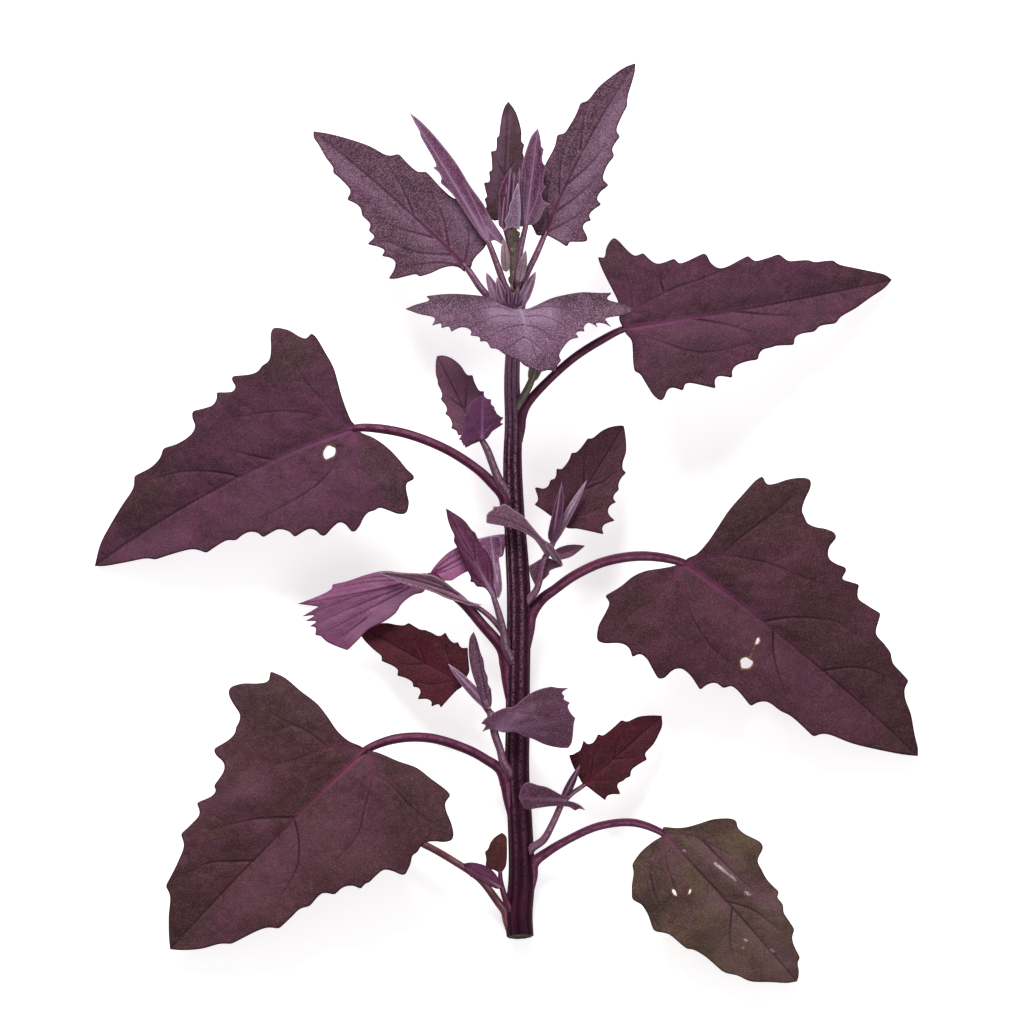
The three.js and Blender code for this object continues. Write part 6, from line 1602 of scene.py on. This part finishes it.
# %% Side shoot in the axil of the lower right leaf
LOWER_RIGHT_STEMS = [
    [(6.8, -111, 9.4, 1.1), (12.3, -104.6, 11, 1.2), (15.1, -99.7, 12.6, 1.2), (18.4, -92.4, 14.4, 1.1)],
    [(18, -93, 14.2, 1), (21.6, -89.4, 14.2, 0.9), (25.6, -86.6, 13, 0.8), (33, -80, 10.8, 0.6)],
]
LOWER_RIGHT_SHOOT = [
    dict(base=(25.6, -86.6, 13.6), tip=(51.4, -63.7, 8), skin="maroon", arch=1.2, fold=0.12, curl=0.006,
        pucker=0.6, branched=False,
        left=[(0.2, 1.5), (0.8, 4), (1.5, 7), (3, 10.8, 1), (3.8, 10), (5, 9.8), (6.5, 9.4), (8, 10),
            (9.8, 11.2, 1), (10, 9.3), (11.5, 8.5), (13, 8.8), (14.8, 9.5, 1), (15.5, 8.2), (18, 7.8),
            (23.7, 7.8, 1), (24.5, 6.3), (28.5, 4.9), (31, 3.2), (33, 1.5)],
        right=[(0.5, -1), (1.1, -4), (2, -8.5, 1), (3.3, -7.8), (4.8, -8.3), (7.1, -10.3, 1), (7.6, -9),
            (8.1, -7.5), (9.2, -7.1), (10.8, -7.7, 1), (11.6, -7.5), (13.5, -8.1, 1), (15, -6.8),
            (18, -6.9), (21.3, -7.6, 1), (22, -5.8), (26.2, -5.2), (30, -3.8), (32.5, -2.5)],
        veins=[[(3, 0.5), (9, 5), (13, 6.5)], [(3, -0.5), (8, -5)], [(13, 0), (19, 4)],
            [(13, 0), (19, -4.5)]]),
    sliver((18.4, -92.2, 14.8), (24.4, -79.8, 17.4), 1.4, "folded", fold=-0.5),
    dict(base=(19.7, -91.5, 15.2), tip=(4.2, -90.7, 15.6), skin="dusk", arch=1, fold=-0.06, pucker=0.3,
        branched=False,
        left=[(-3, 0.6), (-5, 1.5), (-6.7, 3.1, 1), (-4.5, 2.6), (-3.3, 3.4, 1), (-1.1, 2.2), (0.5, 2.1),
            (4, 2.2), (6.5, 2.6), (10.5, 3.4), (12, 3.8), (13.7, 3.2), (14.7, 1.5)],
        right=[(-1.2, -1), (1.5, -1.7), (6.5, -4), (9.5, -4.5), (11.5, -5.1), (13.5, -5.1), (14.3, -4.3),
            (15.2, -2.2)]),
]
make_side_shoot("side_shoot_lower_right", LOWER_RIGHT_STEMS, LOWER_RIGHT_SHOOT, "young")

# %% Side shoot close to the cut end
LOWEST_LEFT_STEMS = [
    [(3, -129.6, 8, 1), (-0.2, -124.4, 8.8, 1), (-1.8, -118.6, 9.8, 0.9), (-2, -114.8, 10.4, 0.7)],
]
LOWEST_LEFT_SHOOT = [
    dict(base=(-2, -115.8, 10.4), tip=(-1.4, -102.3, 11.2), skin="rust", arch=0.6, fold=-0.12, pucker=0.3,
        left=[(0.8, 1.5), (2.2, 4.8), (4.5, 4.8), (7, 5.4, 1), (7.8, 4.4), (10, 3.7), (12, 2.2)],
        right=[(1, -1), (2.5, -1.8), (9, -1.9), (12.5, -1.4)]),
    dict(base=(-1.4, -120.6, 10.2), tip=(-14.2, -112.5, 12.6), skin="magenta", arch=0.8, fold=0.2,
        pucker=0.2, branched=False,
        blush=[(2, -1, 12, -1, 1.6, 0.8)],
        left=[(1, 1), (5, 1.7), (9.6, 2.1), (10.6, 2.5, 1), (12.8, 1.6)],
        right=[(1, -1), (3.6, -2.6), (7.2, -3.5), (10.6, -2.9), (13.4, -1.6)]),
]
make_side_shoot("side_shoot_lowest_left", LOWEST_LEFT_STEMS, LOWEST_LEFT_SHOOT, "stalk")

# %% Green side shoot in the axil of the upper right leaf
UPPER_RIGHT_STEMS = [
    [(3, 39.6, 26.8, 1.1), (6.2, 42.6, 28.8, 1.2), (8.5, 47.4, 30.4, 1.2), (10.2, 52.6, 31.8, 0.9)],
]
UPPER_RIGHT_SHOOT = [
    sliver((8.3, 46.6, 30.6), (13.4, 62, 34), 2.2, "green", fold=0.4),
]
make_side_shoot("side_shoot_upper_right", UPPER_RIGHT_STEMS, UPPER_RIGHT_SHOOT, "sage")

# %% [markdown]
# ## The growing tip
# Between the youngest leaves stands a short axis packed with green-brown flower buds, with a scale at each
# side. A few narrow leaves, still folded along their midribs, rise from it. Buds sit on a real axis by the
# golden angle, so a loop places them; by hand they would look either too even or too wild.

# %% Shape of a bud
BUD_RINGS = 8
BUD_SIDES = 14
BUD_RIBS = 4
# least reach of a ring as a share of its width, and how much its ribs add
BUD_HOLLOW = 0.86
BUD_RIB = 0.14
# below 1 the ends are blunter than those of an oval
BUD_BLUNTNESS = 0.8


def bud_arrays(centre, along, length, width):
    """A small ribbed bud: an oval solid that points along a direction."""
    along = np.array(along, float) / np.linalg.norm(along)
    across = np.cross(along, (0, 0, 1.0))
    across /= np.linalg.norm(across)
    up = np.cross(across, along)
    angle = np.linspace(0, 2 * np.pi, BUD_SIDES, endpoint=False)
    rib = 0.5 + 0.5 * np.cos(BUD_RIBS * angle)
    points = []
    for i in range(1, BUD_RINGS + 1):
        t = np.pi * i / (BUD_RINGS + 1)
        reach = width * np.sin(t) ** BUD_BLUNTNESS * (BUD_HOLLOW + BUD_RIB * rib)
        middle = np.array(centre) - along * length * np.cos(t)
        points.append(middle + ring_around(across, up, angle, reach))
    faces = ring_faces(BUD_RINGS, BUD_SIDES)
    return np.vstack(points), faces, [UPPER] * len(faces), {"ridge": np.tile(rib, BUD_RINGS)}


# %% Axis of the tip with its buds
# x, y, z and radius of the axis
TIP_AXIS = np.array([
    (3.3, 75.5, 34.4, 1.9), (2.9, 83.5, 37.6, 1.9), (2.9, 91.7, 41.2, 1.8), (2.1, 96.8, 44, 1.5),
])
TIP_SIDES = 24
TIP_STEP = 0.5
TIP_RIDGE_HEIGHT = 0.3
BUD_COUNT = 26
GOLDEN_ANGLE = math.radians(137.5)
# how far out a bud stands, as a share of the axis's radius, and how far it is shifted along the axis
BUD_STANDOFF = 0.72
BUD_SHIFT = 0.3
# half the length and half the width of the lowest bud, and how much smaller those of the highest are
BUD_LENGTH = 1.7
BUD_LENGTH_LOSS = 0.4
BUD_WIDTH = 1.05
BUD_WIDTH_LOSS = 0.2

tip_parts = [(tube_arrays(TIP_AXIS, TIP_SIDES, TIP_STEP, STALK_RIDGES, TIP_RIDGE_HEIGHT), "green")]
shares = np.linspace(0, 1, len(TIP_AXIS))
for i in range(BUD_COUNT):
    t = i / (BUD_COUNT - 1)
    *axis, radius = (np.interp(t, shares, TIP_AXIS[:, k]) for k in range(4))
    turn = i * GOLDEN_ANGLE
    centre = np.array(axis) + BUD_STANDOFF * radius * np.array([math.cos(turn), BUD_SHIFT, math.sin(turn)])
    # a bud points outward, up the axis and a little toward the eye
    lean = (0.35 * math.cos(turn), 0.9, 0.4 + 0.3 * math.sin(turn))
    bud = bud_arrays(centre, lean, BUD_LENGTH - BUD_LENGTH_LOSS * t, BUD_WIDTH - BUD_WIDTH_LOSS * t)
    tip_parts.append((bud, "green"))
print("buds", BUD_COUNT)

# %% Youngest leaves and scales
TIP_LEAVES = [
    dict(base=(-0.3, 96, 44.6), tip=(1.5, 116.8, 47), skin="folded", arch=0.8, fold=-0.55, pucker=0.15,
        branched=False,
        left=[(1.2, 1.7), (7.1, 2.45), (13.1, 3), (15.7, 2.3, 1), (19.6, 0.8)],
        right=[(0.8, -2), (6, -1.8), (10.6, -1.4), (15.6, -1.4), (18.8, -0.8)],
        veins=[[(1, 0.9), (8, 1.3), (19, 0.3)]]),
    sliver((1.4, 96.6, 44.8), (2.8, 115.4, 46.4), 1.5, "folded", fold=-0.6, arch=0.8),
    sliver((3.6, 96.6, 44), (4.5, 117, 45.4), 1.3, "folded", fold=-0.6, arch=0.8),
    sliver((-1.8, 97.2, 43.8), (-1.1, 112.6, 44.6), 1.0, "folded", fold=-0.5, arch=0.6),
    dict(base=(4.4, 96.3, 47.2), tip=(3.9, 111.8, 48.6), skin="pale", arch=0.5, fold=0.2, pucker=0.2,
        branched=False,
        left=[(0.9, 2.5), (-0.5, 5.7, 1), (1.6, 4.3), (3.1, 4.9, 1), (5.6, 3.5), (8.6, 2.9), (9.7, 2.2),
            (11.6, 1.7), (14, 0.8)],
        right=[(2, -0.3), (5.3, -0.6), (10.3, -0.6), (13.5, -0.4)],
        veins=[[(0.8, 1), (2, 2.4), (3, 3.6)]]),
    sliver((0, 82.6, 39), (-0.8, 93.8, 42.4), 1.5, "scale", arch=0.8, fold=0.3),
    sliver((4.2, 79.2, 41), (6.5, 89.8, 44.4), 1.5, "scale", arch=0.8, fold=0.3,
        olive=[(7, 0, 11, 0, 2.4, 1.6)]),
]
tip_parts += [(blade_arrays(leaf, SMALLEST_PITCH, YOUNG_BLADE_MM), leaf["skin"]) for leaf in TIP_LEAVES]
make_piece("growing_tip", tip_parts)
